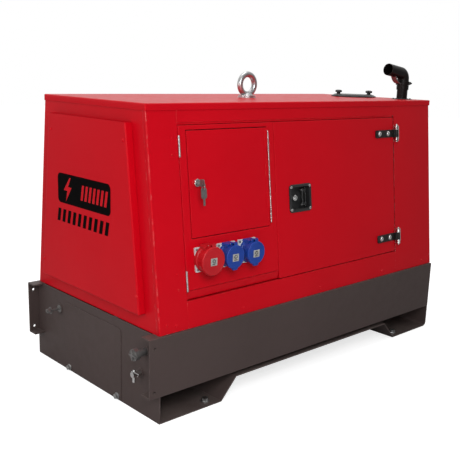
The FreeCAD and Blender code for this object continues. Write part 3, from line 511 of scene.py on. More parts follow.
cowl = [(-by0, cb), (-by1, ct), (by1, ct), (by0, cb)]
face = [bm.verts.new(on_end(a, b, 0)) for a, b in cowl]
back = [bm.verts.new(on_end(a, b, 23.6)) for a, b in cowl]
top_lip = [bm.verts.new(on_end(a, b, 10)) for a, b in (cowl[1], cowl[2])]
bm.faces.new(face)
for i in (0, 2, 3):
    bm.faces.new((face[i], back[i], back[(i + 1) % 4], face[(i + 1) % 4]))
bmesh.ops.delete(bm, geom=top_lip, context="VERTS")
bmesh.ops.recalc_face_normals(bm, faces=bm.faces)
for f in bm.faces:
    f.normal_update()
if [f for f in bm.faces if len(f.verts) == 4][0].normal.x > 0:
    bmesh.ops.reverse_faces(bm, faces=bm.faces)
add("air_cowl_skin", bm, RED, "base", bevel=4.0, segs=4, angle=40, solid=2.0, replaces=("air_cowl",))

def pad(name, x0, x1, v0, v1, body, n0=2.4, n1=17.0):
    """Quilted foam: a pillow face stitched on a square grid."""
    bm = bmesh.new()
    nx, nv = max(6, int((x1 - x0) / 9)), max(6, int((v1 - v0) / 9))
    grid = []
    for i in range(nx + 1):
        col = []
        for j in range(nv + 1):
            x, v = x0 + (x1 - x0) * i / nx, v0 + (v1 - v0) * j / nv
            edge = i in (0, nx) or j in (0, nv)
            puff = abs(math.sin(math.pi * (x - x0) / 60.0) * math.sin(math.pi * (v - v0) / 60.0)) ** 0.5
            col.append(bm.verts.new(front(x, n0 + 3 if edge else n1 - 4 + 4 * puff, v)))
        grid.append(col)
    for i in range(nx):
        for j in range(nv):
            bm.faces.new((grid[i][j], grid[i][j + 1], grid[i + 1][j + 1], grid[i + 1][j]))
    ring = [grid[i][0] for i in range(nx + 1)] + [grid[nx][j] for j in range(1, nv + 1)] + [grid[i][nv] for i in range(nx - 1, -1, -1)] + [grid[0][j] for j in range(nv - 1, 0, -1)]
    low = [bm.verts.new(w.co + OUT * 2.9 * MM) for w in ring]
    for i in range(len(ring)):
        k = (i + 1) % len(ring)
        bm.faces.new((ring[i], low[i], low[k], ring[k]))
    bm.faces.new(low)
    return add(name, fix(bm), FOAM, body, sharp=50)


pad("door_lining_main", 690, 1130, 104, 578, "service_door")
pad("door_lining_top", 512, 684, 412, 578, "service_door")
pad("door_lining_low", 512, 684, 104, 272, "service_door")

# ------------------------------------------------------------------ hinges
HV = (537.0, 143.0)


def knuckle(bm, x, n, v0, v1, r, seg=24):
    lathe(bm, front(x, n, v0), front(x, n, v1) - front(x, n, v0), [(0, 0), (r - 0.4, 0), (r, 0.4), (r, (v1 - v0) - 0.4), (r - 0.4, v1 - v0), (0, v1 - v0)], seg)


bm = bmesh.new()
for v in HV:
    knuckle(bm, SEAM_L, -3.2, v - 10, v + 10, 3.0)
    prism(bm, rect(SEAM_L + 0.4, SEAM_L + 1.6, v - 10, v + 10), lambda a, b, d: front(a, d, b), -3.0, 15)
add("control_hinge_knuckles", fix(bm), ZINC, "control_door", bevel=0.3)
bm = bmesh.new()
hv0, stepv, hax, hn = flv0 + 12, 49, flx1 + 1.5, -2.6
for i in (1, 3, 5):
    knuckle(bm, hax, hn, hv0 + i * stepv, hv0 + i * stepv + stepv - 0.6, 2.4, 16)
add("flap_hinge_knuckles_moving", fix(bm), CHROME, "control_flap", bevel=0.25)
bm = bmesh.new()
for i in (1, 3, 5):
    prism(bm, rect(flx1 - 14, hax - 1.2, hv0 + i * stepv, hv0 + i * stepv + stepv - 0.6), lambda a, b, d: front(a, d, b), -1.2, -0.1)
add("flap_hinge_leaf", fix(bm), RED, "control_flap", bevel=0.25)
bm = bmesh.new()
for i in (0, 2, 4):
    knuckle(bm, hax, hn, hv0 + i * stepv, hv0 + i * stepv + stepv - 0.6, 2.4, 16)
lathe(bm, front(hax, hn, hv0 - 0.8), up, [(0, 0), (1.1, 0.2), (1.1, 6 * stepv - 0.2), (0, 6 * stepv)], 12)
hk = add("flap_hinge_knuckles_fixed", fix(bm), CHROME, "control_door", bevel=0.25, replaces=("flap_hinge_fixed",))
bm = bmesh.new()
for i in (0, 2, 4):
    prism(bm, rect(hax + 1.2, flx1 + 15, hv0 + i * stepv, hv0 + i * stepv + stepv - 0.6), lambda a, b, d: front(a, d, b), -1.2, -0.1)
add("flap_hinge_plate", fix(bm), RED, "control_door", bevel=0.25)

# strap hinge bolts: dome heads on square shoulders, with a washer
for i, v in enumerate(HV):
    bm = bmesh.new()
    for x in (1054, 1106):
        lathe(bm, front(x, -5.0, v), OUT, [(9.4, 0), (9.4, 0.9), (8.6, 1.2), (8.2, 1.3), (8.1, 2.4), (7.4, 3.9), (5.8, 5.0), (3.2, 5.7), (0, 5.9)], 36)
    add("door_hinge_bolts_%d" % (i + 1), fix(bm), CHROME, "service_door")
    bm = bmesh.new()
    # pressed rib along the strap
    prism(bm, rrect(1039, 1131, v - 10.5, v + 10.5, 4), lambda a, b, d: front(a, d, b), -5.6, -4.8)
    add("door_hinge_strap_face_%d" % (i + 1), fix(bm), BLACKP, "service_door", bevel=0.5)
    bm = bmesh.new()
    for dv in (-33, 33):
        lathe(bm, front(1154, -10.5, v + dv * 0.97), up * (1 if dv > 0 else -1), [(4.6, -2.0), (4.6, 0), (3.8, 1.2), (2.0, 1.9), (0, 2.1)], 24)
    for dx, dv in ((14, 20), (14, -20), (20, 0)):
        lathe(bm, front(1154 + dx, -3.0, v + dv), OUT, [(4.2, 0), (4.1, 0.9), (3.2, 1.9), (1.6, 2.3), (0, 2.4)], 24)
    add("door_hinge_pins_%d" % (i + 1), fix(bm), CHROME, "base")


def cross_screws(name, places, axis, r, mat, body, h=2.4):
    """Pan-head screws with a crossed slot."""
    bm = bmesh.new()
    for p in places:
        lathe(bm, p, axis, [(r, 0), (r, h * 0.35), (r * 0.86, h * 0.75), (r * 0.55, h * 0.97), (r * 0.45, h), (r * 0.2, h), (r * 0.14, h * 0.55), (0, h * 0.5)], 28,
              ripple=lambda a, rr, hh: rr * (1.0 if hh < h * 0.5 or rr > r * 0.5 else (1.0 + 0.28 * math.cos(4 * a))))
    return add(name, fix(bm), mat, body)


# ------------------------------------------------------------------ latch
DW, DH = 108.0, 93.0
cross_screws("latch_screws", [front(lx + (DW / 2 - 9) * a, -2.4, LV + (DH / 2 - 9) * b) for a in (-1, 1) for b in (-1, 1)], OUT, 4.9, CHROME, "service_door",
             2.9)
bm = bmesh.new()
# rolled rim round the dish
outer = rrect(lx - DW / 2 + 0.3, lx + DW / 2 - 0.3, LV - DH / 2 + 0.3, LV + DH / 2 - 0.3, 12, 8)
prev = None
rows = []
for off, n in ((0.0, -0.2), (0.0, -1.6), (1.2, -2.9), (3.0, -3.2), (4.6, -2.7)):
    rows.append([bm.verts.new(front(x, n, v)) for x, v in rrect(lx - DW / 2 + 0.3 + off, lx + DW / 2 - 0.3 - off, LV - DH / 2 + 0.3 + off, LV + DH / 2 - 0.3 - off, 12 - off, 8)])
for a, b in zip(rows, rows[1:]):
    for i in range(len(a)):
        bm.faces.new((a[i], a[(i + 1) % len(a)], b[(i + 1) % len(a)], b[i]))
add("latch_rim", fix(bm), GLOSS, "service_door", sharp=60)
bm = bmesh.new()
lathe(bm, front(lx - 13, 14.0, LV), OUT, [(10.5, -6), (10.5, 2.5), (9.8, 4.4), (8.6, 5.2), (7.9, 5.0), (7.5, 4.4), (2.2, 4.4), (1.9, 2.0), (0, 2.0)], 40,
      ripple=lambda a, r, h: r if r > 3 else r * (1.0 + 1.0 * math.cos(2 * a)))
add("latch_lock_ring", fix(bm), CHROME, "service_door")
# the pull grip: a waisted bar between two flared ears on the pivot
bm = bmesh.new()
px = lx + 38
path = []
for k in range(25):
    s = -1 + 2 * k / 24.0
    path.append((s, 3.6 + 2.6 * abs(s) ** 3))
rings = []
for s, hw in path:
    v = LV + 27.5 * s
    ring = []
    for j in range(16):
        a = 2 * math.pi * j / 16
        ring.append(bm.verts.new(front(lx + 18.5 + hw * 1.05 * math.cos(a), 7.2 + 3.8 * math.sin(a), v)))
    rings.append(ring)
for a, b in zip(rings, rings[1:]):
    for j in range(16):
        bm.faces.new((a[j], a[(j + 1) % 16], b[(j + 1) % 16], b[j]))
bm.faces.new(list(reversed(rings[0])))
bm.faces.new(rings[-1])
for s in (-1, 1):
    ear = [(lx + 6, LV + s * 24.5), (lx + 14, LV + s * 19), (lx + 24, LV + s * 18.5), (px - 3, LV + s * 19.5), (px + 0.8, LV + s * 20), (px + 0.8, LV + s * 28),
           (lx + 24, LV + s * 28), (lx + 8, LV + s * 28)]
    if s < 0:
        ear = list(reversed(ear))
    prism(bm, ear, lambda a, b, d: front(a, d, b), 5.4, 10.4)
knuckle(bm, px, 12, LV - 32, LV + 32, 3.2)
for s in (-1, 1):
    prism(bm, rect(px - 3.2, px + 3.2, min(LV + s * 20, LV + s * 28), max(LV + s * 20, LV + s * 28)), lambda a, b, d: front(a, d, b), 9, 12.5)
add("latch_grip", fix(bm), GLOSS, "latch_handle", bevel=0.7, segs=2, replaces=("latch_handle",))

# ------------------------------------------------------------------ socket outlets
MOUTH = -0.366
BACKY = -0.3275


def socket(tag, cx, cz, r, cavity, lidr, mat, body_node, lid_node, pins):
    depth = (BACKY - MOUTH) / MM
    bm = bmesh.new()
    n_rib = 20
    prof = [(r - 1, 0), (r + 3.2, 0), (r + 3.2, depth - 26), (r + 1.6, depth - 24.5), (r, depth - 24), (r, depth - 10), (r + 0.4, depth - 9), (r + 2.5, depth - 7),
            (r + 2.5, depth - 1.0), (r + 1.6, depth), (cavity + 1, depth), (cavity, depth - 1), (cavity, depth - 22.4), (0, depth - 22.4)]
    lathe(bm, (cx, BACKY, cz), (0, -1, 0), prof, 120, ripple=lambda a, rr, h: rr + (0.55 * max(0.0, math.cos(n_rib * a)) if abs(rr - r) < 0.1 else 0))
    for s in (-1, 1):
        prism(bm, [(cx / MM + s * 13, cz / MM + r - 6), (cx / MM + s * 13, cz / MM + lidr + 5.5), (cx / MM + s * 12, cz / MM + lidr + 7.5), (cx / MM + s * 9, cz / MM + lidr + 7.5),
                   (cx / MM + s * 8, cz / MM + lidr + 5.5), (cx / MM + s * 8, cz / MM + r - 6)], lambda a, b, d: Vector((a * MM, MOUTH + d * MM, b * MM)), 0.0, 8.0)
    # housing behind the lid's hinge, over the top of the barrel
    hood = [(-19, r - 9), (19, r - 9), (19, lidr - 2.5), (16, lidr + 1.8), (-16, lidr + 1.8), (-19, lidr - 2.5)]
    prism(bm, [(cx / MM + a, cz / MM + b) for a, b in hood], lambda a, b, d: Vector((a * MM, MOUTH + d * MM, b * MM)), 9.5, depth)
    return bm


def socket_all(tag, cx, cz, r, cavity, lidr, mat, body, lid_body, lid_node, pins):
    bm = socket(tag, cx, cz, r, cavity, lidr, mat, None, lid_node, pins)
    bodyo = add("socket_%s_shell" % tag, fix(bm), mat, body, bevel=0.4, segs=2)
    z0 = cz + (lidr + 3.5) * MM
    bm = bmesh.new()
    lathe(bm, (cx - 13.2 * MM, -0.362, z0), (1, 0, 0), [(0, 0), (1.7, 0), (2.0, 0.4), (2.0, 26), (1.7, 26.4), (0, 26.4)], 16)
    # points of a coil spring round the pin; they are computed but not built into the mesh
    turns, seg = 5, 14
    pts = []
    for k in range(turns * seg + 1):
        a = 2 * math.pi * k / seg
        pts.append(Vector((cx + (-6.6 + 13.2 * k / (turns * seg)) * MM, -0.362 + 3.2 * MM * math.cos(a), z0 + 3.2 * MM * math.sin(a))))
    add("socket_%s_pin" % tag, fix(bm), ZINC, body)
    bm = bmesh.new()
    for k in range(pins):
        a = math.radians(90 + 360.0 * k / pins)
        rr = cavity * 0.56
        lathe(bm, (cx + rr * math.cos(a) * MM, MOUTH + 22.4 * MM, cz + rr * math.sin(a) * MM), (0, -1, 0), [(2.6, 0), (2.6, 14), (2.0, 15.4), (0, 16)], 16)
    add("socket_%s_contacts" % tag, fix(bm), BRASS, body)
    bm = bmesh.new()
    m = MOUTH - 0.5 * MM
    lathe(bm, (cx, m, cz), (0, -1, 0), [(0, 0), (lidr - 1.4, 0), (lidr - 0.2, 0.5), (lidr, 1.4), (lidr, 5.4), (lidr - 0.5, 7.0), (lidr - 1.8, 8.2), (lidr - 3.4, 8.8),
                                         (lidr - 4.6, 8.7), (lidr - 5.4, 8.1), (lidr * 0.5, 8.0), (0, 8.0)], 96)
    # hinge lug and finger lip
    lug = [(-7.2, lidr - 9), (7.2, lidr - 9), (7.2, lidr + 5.6), (5.6, lidr + 7.3), (-5.6, lidr + 7.3), (-7.2, lidr + 5.6)]
    prism(bm, lug, lambda a, b, d: Vector((cx + a * MM, m + d * MM, cz + b * MM)), -7.0, -0.3)
    prism(bm, [(-7.2, lidr + 0.4), (7.2, lidr + 0.4), (7.2, lidr + 6.6), (-7.2, lidr + 6.6)], lambda a, b, d: Vector((cx + a * MM, m + d * MM, cz + b * MM)), -6.0, 6.8)
    lipb = [(-11, -lidr + 3), (11, -lidr + 3), (9.5, -lidr - 2.6), (7.5, -lidr - 3.8), (-7.5, -lidr - 3.8), (-9.5, -lidr - 2.6)]
    if tag != "red":
        prism(bm, list(reversed(lipb)), lambda a, b, d: Vector((cx + a * MM, m + d * MM, cz + b * MM)), -7.2, -1.0)
    add("socket_%s_cap" % tag, fix(bm), mat, lid_body, bevel=0.45, segs=2, replaces=(lid_node,))
    # a plain plate where a rating would be, with a generic pin diagram
    bm = bmesh.new()
    fy = m - 8.0 * MM
    prism(bm, rrect(-12.5, 12.5, -11.5, 11.5, 1.2, 3), lambda a, b, d: Vector((cx + a * MM, fy + d * MM, cz + (b - 1.5) * MM)), -0.6, 0.2)
    add("socket_%s_plate" % tag, fix(bm), LABEL, lid_body, bevel=0.2, segs=2)
    bm = bmesh.new()
    lathe(bm, (cx, fy - 0.55 * MM, cz + 1.0 * MM), (0, -1, 0), [(6.2, 0), (6.2, 0.35), (4.7, 0.35), (4.7, 0)], 32)
    for k in range(pins):
        a = math.radians(90 + 360.0 * k / pins)
        lathe(bm, (cx + 2.9 * math.cos(a) * MM, fy - 0.55 * MM, cz + (1.0 + 2.9 * math.sin(a)) * MM), (0, -1, 0), [(1.0, 0), (1.0, 0.35), (0, 0.35)], 12)
    for b0 in (-9.0, -11.0):
        prism(bm, rect(-7, 7 if b0 > -10 else 3, b0, b0 + 1.1), lambda a, b, d: Vector((cx + a * MM, fy + d * MM, cz + (b + 1.0) * MM)), -0.9, -0.5)
    add("socket_%s_diagram" % tag, fix(bm), INK, lid_body)
    return bodyo


def centre_x(node):
    a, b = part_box(node)
    return (a.x + b.x) / 2


SZ = 0.470
red_x = centre_x("socket_red_body")
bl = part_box("socket_blue_lid_left")
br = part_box("socket_blue_lid_right")
red_shell = socket_all("red", red_x, SZ, 37, 29, 44, REDP, "control_door", "socket_red_lid", "socket_red_lid", 5)
bl_shell = socket_all("blue_left", (bl[0].x + bl[1].x) / 2, SZ, 33, 25, 37, BLUEP, "control_door", "socket_blue_lid_left", "socket_blue_lid_left", 3)
br_shell = socket_all("blue_right", (br[0].x + br[1].x) / 2, SZ, 33, 25, 37, BLUEP, "control_door", "socket_blue_lid_right", "socket_blue_lid_right", 3)
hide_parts("socket_red_body")
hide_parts("socket_blue_bodies")
sv = 201.4
places = []
for cx in (red_x, (bl[0].x + bl[1].x) / 2, (br[0].x + br[1].x) / 2):
    for a in (-1, 1):
        for b in (-1, 1):
            places.append(front((cx - X0) / MM + 30 * a, -3.9, sv + 30 * b))
cross_screws("flange_screws", places, OUT, 3.7, KEYGREY, "control_door", 2.3)
bm = bmesh.new()
for cx in (red_x, (bl[0].x + bl[1].x) / 2, (br[0].x + br[1].x) / 2):
    lathe(bm, front((cx - X0) / MM, -3.9, sv), OUT, [(36.5, 0), (36.5, 1.0), (35.5, 1.8), (30, 1.8), (30, 0)], 72)
add("flange_collars", fix(bm), GREY, "control_door")

# ------------------------------------------------------------------ lock and keys
bm = bmesh.new()
lathe(bm, front(167, -6.2, 428), OUT, [(11.4, -6.0), (11.4, 0.2), (10.6, 1.0), (8.9, 1.1), (8.5, 0.7), (8.0, 0.7), (7.8, 1.9), (2.0, 1.9)], 40)
add("flap_lock_ring", fix(bm), CHROME, "control_flap")
for o, m in (("door_key", KEYGREY), ("spare_key", KEYGREY), ("flap_lock", BLACKP), ("panel_screws", RED), ("control_hinge_fixed", ZINC), ("exhaust_clamp", EXH),
             ("earth_terminal", KEYGREY), ("oil_drain_plug", KEYGREY), ("drain_cock_body", CHROME), ("drain_cock_lever", CHROME)):
    frame["nodes"][o].data.materials[0] = m
bm = bmesh.new()
seg1, seg2 = 40, 10
ring_c = front(167, -31, 424 - 8)
for i in range(seg1):
    for j in range(seg2):
        a, b = 2 * math.pi * i / seg1, 2 * math.pi * j / seg2
        rr = 9.0 + 0.7 * math.cos(b)
        bm.verts.new(ring_c + AX * (0.7 * math.sin(b) * MM) + OUT * (rr * math.cos(a) * 0.55 * MM) + up * (rr * math.sin(a) * MM))
bm.verts.ensure_lookup_table()
for i in range(seg1):
    for j in range(seg2):
        bm.faces.new((bm.verts[i * seg2 + j], bm.verts[((i + 1) % seg1) * seg2 + j], bm.verts[((i + 1) % seg1) * seg2 + (j + 1) % seg2], bm.verts[i * seg2 + (j + 1) % seg2]))
add("key_ring", fix(bm), ZINC, "spare_key", sharp=80)

# ------------------------------------------------------------------ a plain emblem on the cowl: a spark in a rounded tile beside a solid bar
EMX = CX - 0.0003


def on_cowl(a, b, d):
    return Vector((EMX + d * MM, a * MM, b * MM))


def plates(name, outlines, mat, d0, d1):
    bm = bmesh.new()
    for pts in outlines:
        prism(bm, pts, on_cowl, d0, d1)
    return add(name, fix(bm), mat, "base", smooth=False)


def slant(a, b, w, h, lean):
    return [(a, b), (a - w, b), (a - w - lean, b + h), (a - lean, b + h)]


TILE = (42, 164, 587, 684)
mid_a, mid_b = (TILE[0] + TILE[1]) / 2, (TILE[2] + TILE[3]) / 2
plates("cowl_emblem", [rrect(-140, 164, 588, 684, 16, 8)] + [slant(172 - 31 * k, 526, 17, 42, 9) for k in range(10)], INK, -0.35, 0.1)
spark = [(12, 38), (-24, -5), (-2, -5), (-12, -40), (24, 8), (2, 8), (20, 38)]
plates("cowl_emblem_spark", [[(mid_a - a, mid_b + b) for a, b in spark]] + [slant(26 - 22 * k, 612, 12, 48, 10) for k in range(7)], RED, -0.6, -0.3)

# ------------------------------------------------------------------ roof fittings
for i, nm in ((0, "hatch_knob_left"), (1, "hatch_knob_right")):
    a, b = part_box(nm)
    c = Vector(((a.x + b.x) / 2, (a.y + b.y) / 2, a.z))
    bm = bmesh.new()
    lathe(bm, c, (0, 0, 1), [(0, 0.2), (7.2, 0.2), (7.2, 5.0), (8.0, 6.0), (12.5, 7.5), (14.5, 9.5), (14.5, 13.5), (12.5, 15.6), (7.0, 17.0), (3.0, 17.2), (0, 17.2)], 72,
          ripple=lambda a, r, h: r * (1 + (0.11 * math.cos(4 * a) if r > 8.5 else 0)))
    add(nm + "_grip", fix(bm), BLACK, nm, replaces=(nm,))
bm = bmesh.new()
hcz = hc0.z
hr = (hc1.x - hc0.x) / 2 / MM
lathe(bm, (HX, HY, hcz), (0, 0, 1), [(hr - 1.0, 0.2), (hr, 0.8), (hr, 3.2), (hr - 1.2, 4.4), (hr - 4, 4.6), (hr - 5, 5.2), (hr - 11, 8.8), (hr - 13, 9.2), (hr - 30, 9.3), (hr - 31, 8.6),
                                      (hr - 36, 8.6), (hr - 37, 9.3), (0, 9.3)], 96)
for i, nm in ((0, "hatch_knob_left"), (1, "hatch_knob_right")):
    a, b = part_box(nm)
    lathe(bm, ((a.x + b.x) / 2, (a.y + b.y) / 2, hcz + 0.009), (0, 0, 1), [(13, 0), (13, 1.2), (12, 1.8), (4.0, 1.8)], 32)
    lathe(bm, ((a.x + b.x) / 2, (a.y + b.y) / 2, hcz + 0.006), (0, 0, 1), [(3.8, 0), (3.8, 15.0), (0, 15.5)], 20)
add("hatch_lid", fix(bm), BLACKP, "hatch_cover", replaces=("hatch_cover",))
bm = bmesh.new()
lathe(bm, (HX, HY, RT), (0, 0, 1), [(70, 0.0), (70, 0.35), (62, 0.35), (61, 0.0)], 72)
add("hatch_gasket", fix(bm), RUBBER, "base")
bm = bmesh.new()
lathe(bm, (EXX, EXY, RT), (0, 0, 1), [(40, 0.0), (40, 1.2), (39, 1.9), (25.5, 2.0), (25.0, 3.4), (23.4, 3.6), (22.4, 2.8), (22.0, 0.4)], 56)
for k in range(4):
    a = math.radians(45 + 90 * k)
    lathe(bm, (EXX + 0.033 * math.cos(a), EXY + 0.033 * math.sin(a), RT + 0.0018), (0, 0, 1), [(3.6, 0), (3.5, 1.2), (2.0, 2.2), (0, 2.4)], 16)
add("exhaust_collar", fix(bm), BLACKP, "base")
bm = bmesh.new()
outer_arc = [(-25 + 46 * math.cos(math.radians(a)), 1031 + 46 * math.sin(math.radians(a))) for a in range(202, 270, 6)]
inner_arc = [(-25 + 43 * math.cos(math.radians(a)), 1031 + 43 * math.sin(math.radians(a))) for a in range(202, 270, 6)]
for a, b, c, d in zip(outer_arc, outer_arc[1:], inner_arc, inner_arc[1:]):
    prism(bm, [a, b, d, c], lambda x, z, y: Vector((EXX + x * MM, EXY + y * MM, z * MM)), -12, 12)
add("exhaust_stay", fix(bm), KEYGREY, "base", bevel=0.6, segs=2)
bm = bmesh.new()
lathe(bm, (EX, 0, RT), (0, 0, 1), [(33, 0.1), (33, 1.6), (32, 2.2), (24, 2.2)], 56)
add("eye_washer", fix(bm), ZINC, "base")

# ------------------------------------------------------------------ base fittings
pl = (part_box("base_end_plate")[0].x)
bm = bmesh.new()
lathe(bm, (pl - 0.0005, -0.296, 0.210), (-1, 0, 0), [(15, 0), (15, 2.0), (13.5, 3.0), (11.5, 3.0)], 40)
lathe(bm, (pl - 0.0005, 0.204, 0.208), (-1, 0, 0), [(17, 0), (17, 1.6), (16, 2.2), (4.2, 2.2)], 40)
lathe(bm, (pl - 0.0005, -0.268, 0.134), (-1, 0, 0), [(14, 0), (14, 1.6), (13, 2.2), (7.2, 2.2)], 40)
add("base_washers", fix(bm), BROWN, "base")

# ------------------------------------------------------------------ instruments behind the flap
pm0, pm1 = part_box("panel_meters")
for i, x in enumerate((190, 285)):
    c = front(x, 46.0, 520)
    bm = bmesh.new()
    lathe(bm, c, OUT, [(31.5, 0.0), (31.5, 0.3), (0, 0.3)], 48)
    add("meter_dial_%d" % (i + 1), fix(bm), WHITE, "control_door")
    bm = bmesh.new()
    f = frame_of(OUT, AX)
    for k in range(21):
        a = math.radians(150 - 6 * k)
        r0, r1 = (20 if k % 5 == 0 else 23), 27
        w = 0.5 if k % 5 == 0 else 0.3
        d = Vector((math.cos(a), math.sin(a), 0))
        t = Vector((-math.sin(a), math.cos(a), 0))
        q = [c + f @ ((d * r + t * s) * MM + Vector((0, 0, 0.00045))) for r, s in ((r0, -w), (r1, -w), (r1, w), (r0, w))]
        bm.faces.new([bm.verts.new(p) for p in q])
    a = math.radians(140)
    d = Vector((math.cos(a), math.sin(a), 0))
    t = Vector((-math.sin(a), math.cos(a), 0))
    q = [c + f @ ((d * r + t * s) * MM + Vector((0, 0, 0.0008))) for r, s in ((-5, -0.7), (25, -0.25), (25, 0.25), (-5, 0.7))]
    bm.faces.new([bm.verts.new(p) for p in q])
    add("meter_marks_%d" % (i + 1), bm, INK, "control_door", smooth=False)
    bm = bmesh.new()
    lathe(bm, front(x, 46.4, 520), OUT, [(36, 0), (36, 2.6), (34.5, 3.6), (32.5, 3.6), (31.5, 2.4), (31.5, 0.2)], 56)
    add("meter_bezel_%d" % (i + 1), fix(bm), BLACK, "control_door")
bm = bmesh.new()
lathe(bm, front(400, 54.8, 516), OUT, [(31, 0), (31, 0.4), (24, 0.4)], 56)
f = frame_of(OUT, AX)
for k in range(11):
    a = math.radians(225 - 27 * k)
    d = Vector((math.cos(a), math.sin(a), 0))
    t = Vector((-math.sin(a), math.cos(a), 0))
    q = [front(400, 54.8, 516) + f @ ((d * r + t * s) * MM + Vector((0, 0, 0.0006))) for r, s in ((25, -0.6), (30, -0.6), (30, 0.6), (25, 0.6))]
    bm.faces.new([bm.verts.new(p) for p in q])
add("knob_scale", fix(bm), WHITE, "control_door")

# ------------------------------------------------------------------ engine dressing behind the service door
def at(x, y, z):
    return Vector((X0 + x * MM, y * MM, z * MM))


def tube(bm, pts, r, seg=14):
    """A round tube through points, with its ends closed."""
    rows = []
    for i, p in enumerate(pts):
        d = (pts[min(i + 1, len(pts) - 1)] - pts[max(i - 1, 0)]).normalized()
        ref = Vector((0, 0, 1)) if abs(d.z) < 0.9 else Vector((1, 0, 0))
        u = d.cross(ref).normalized()
        w = d.cross(u)
        rows.append([bm.verts.new(p + (u * math.cos(2 * math.pi * k / seg) + w * math.sin(2 * math.pi * k / seg)) * r * MM) for k in range(seg)])
    for a, b in zip(rows, rows[1:]):
        for k in range(seg):
            bm.faces.new((a[k], a[(k + 1) % seg], b[(k + 1) % seg], b[k]))
    bm.faces.new(rows[0])
    bm.faces.new(rows[-1])


def curve(pts, n=10):
    out = []
    for i in range(len(pts) - 1):
        p0, p1, p2, p3 = pts[max(i - 1, 0)], pts[i], pts[i + 1], pts[min(i + 2, len(pts) - 1)]
        for k in range(n):
            t = k / n
            out.append(0.5 * ((2 * p1) + (p2 - p0) * t + (2 * p0 - 5 * p1 + 4 * p2 - p3) * t * t + (3 * p1 - p0 - 3 * p2 + p3) * t ** 3))
    return out + [pts[-1]]


bm = bmesh.new()
for i in range(2):
    x0 = 672 + 186 * i
    prism(bm, rrect(x0, x0 + 170, -88, 30, 14, 5), lambda a, b, d: at(a, b, d), 676, 712)
    for k in range(5):
        prism(bm, rrect(x0 + 20 + 30 * k, x0 + 27 + 30 * k, -80, 22, 3, 3), lambda a, b, d: at(a, b, d), 711, 717)
add("rocker_covers", fix(bm), ALU, "base", bevel=3.0, segs=3)
bm = bmesh.new()
for k in range(9):
    prism(bm, rrect(655, 1035, 420 + 18 * k, 425 + 18 * k, 2, 2), lambda a, b, d: at(a, d, b), -158, -148)
for x in (690, 780, 870, 960):
    lathe(bm, at(x, -150, 385), (0, -1, 0), [(13, 0), (13, 7), (11, 9), (6, 9), (6, 14), (0, 14)], 24)
add("engine_ribs", fix(bm), IRON, "base", bevel=1.0, segs=2)
bm = bmesh.new()
lathe(bm, at(1000, -150, 350), (0, -1, 0), [(20, 0), (38, 3), (38, 62), (36, 68), (30, 71), (0, 71)], 48, ripple=lambda a, r, h: r * (1 + (0.012 * math.cos(14 * a) if h > 55 else 0)))
add("oil_filter", fix(bm), BLUEP, "base")
bm = bmesh.new()
lathe(bm, at(690, -60, 770), (1, 0, 0), [(0, 0), (44, 0), (48, 3), (48, 40), (50, 42), (50, 48), (48, 50), (48, 214), (46, 222), (34, 226), (0, 226)], 56)
add("air_filter", fix(bm), BLACK, "base", bevel=0.8, segs=2)
bm = bmesh.new()
tube(bm, curve([at(916, -60, 770), at(950, -62, 768), at(975, -80, 740), at(978, -95, 700), at(975, -100, 660)]), 24, 24)
tube(bm, curve([at(1010, -60, 690), at(1060, -70, 745), at(1120, -90, 770), at(1200, -110, 780), at(1232, -110, 778)]), 17, 20)
tube(bm, curve([at(1040, 60, 420), at(1100, 30, 380), at(1170, -40, 350), at(1232, -80, 345)]), 17, 20)
add("engine_hoses", fix(bm), RUBBER, "base")
bm = bmesh.new()
for k in range(2):
    x = 740 + 180 * k
    tube(bm, curve([at(x, -88, 700), at(x - 4, -130, 712), at(x - 14, -168, 680), at(x - 30, -172, 600), at(720 + 60 * k, -170, 560)]), 3.2, 10)
tube(bm, curve([at(660, -150, 600), at(655, -172, 560), at(660, -176, 470), at(668, -164, 400)]), 2.6, 10)
add("injector_lines", fix(bm), ZINC, "base")
bm = bmesh.new()
prism(bm, rrect(700, 830, 500, 560, 8, 4), lambda a, b, d: at(a, d, b), -182, -148)
for x in (720, 750, 780, 810):
    lathe(bm, at(x, -164, 560), (0, 0, 1), [(9, 0), (9, 10), (6, 12), (6, 20), (0, 20)], 18)
lathe(bm, at(880, -150, 500), (0, -1, 0), [(30, 0), (34, 2), (34, 26), (30, 30), (10, 30), (10, 36), (0, 36)], 36)
add("injection_pump", fix(bm), ALU, "base", bevel=1.4, segs=2)

# ------------------------------------------------------------------ stage, light, camera
bm = bmesh.new()
R = 16.0
ring = []
prof = [(0.0, 0.0), (6.5, 0.0), (9.0, 0.0), (11.0, 0.0), (R, 0.0)]
lathe(bm, (0, 0, -0.0002), (0, 0, 1), [(0, 0)] + [(p[0] * 1000, 0) for p in prof[1:]], 64)
me = bpy.data.meshes.new("floor")
bm.to_mesh(me)
bm.free()
floor = bpy.data.objects.new("floor", me)
scene.collection.objects.link(floor)
fm, nt, b = nodes_of("floor_pale")
b.inputs["Base Color"].default_value = (0.62, 0.62, 0.62, 1)
b.inputs["Roughness"].default_value = 0.9
b.inputs["Specular IOR Level"].default_value = 0.0
flp = nt.nodes.new("ShaderNodeLightPath")
fem = nt.nodes.new("ShaderNodeEmission")
fem.inputs[0].default_value = (1, 1, 1, 1)
fem.inputs[1].default_value = 0.72
fadd = nt.nodes.new("ShaderNodeAddShader")
nt.links.new(b.outputs[0], fadd.inputs[0])
nt.links.new(fem.outputs[0], fadd.inputs[1])
fdim = nt.nodes.new("ShaderNodeBsdfDiffuse")
fdim.inputs[0].default_value = (0.42, 0.42, 0.42, 1)
fmx = nt.nodes.new("ShaderNodeMixShader")
nt.links.new(flp.outputs["Is Camera Ray"], fmx.inputs[0])
nt.links.new(fdim.outputs[0], fmx.inputs[1])
nt.links.new(fadd.outputs[0], fmx.inputs[2])
fout = [n for n in nt.nodes if n.type == "OUTPUT_MATERIAL"][0]
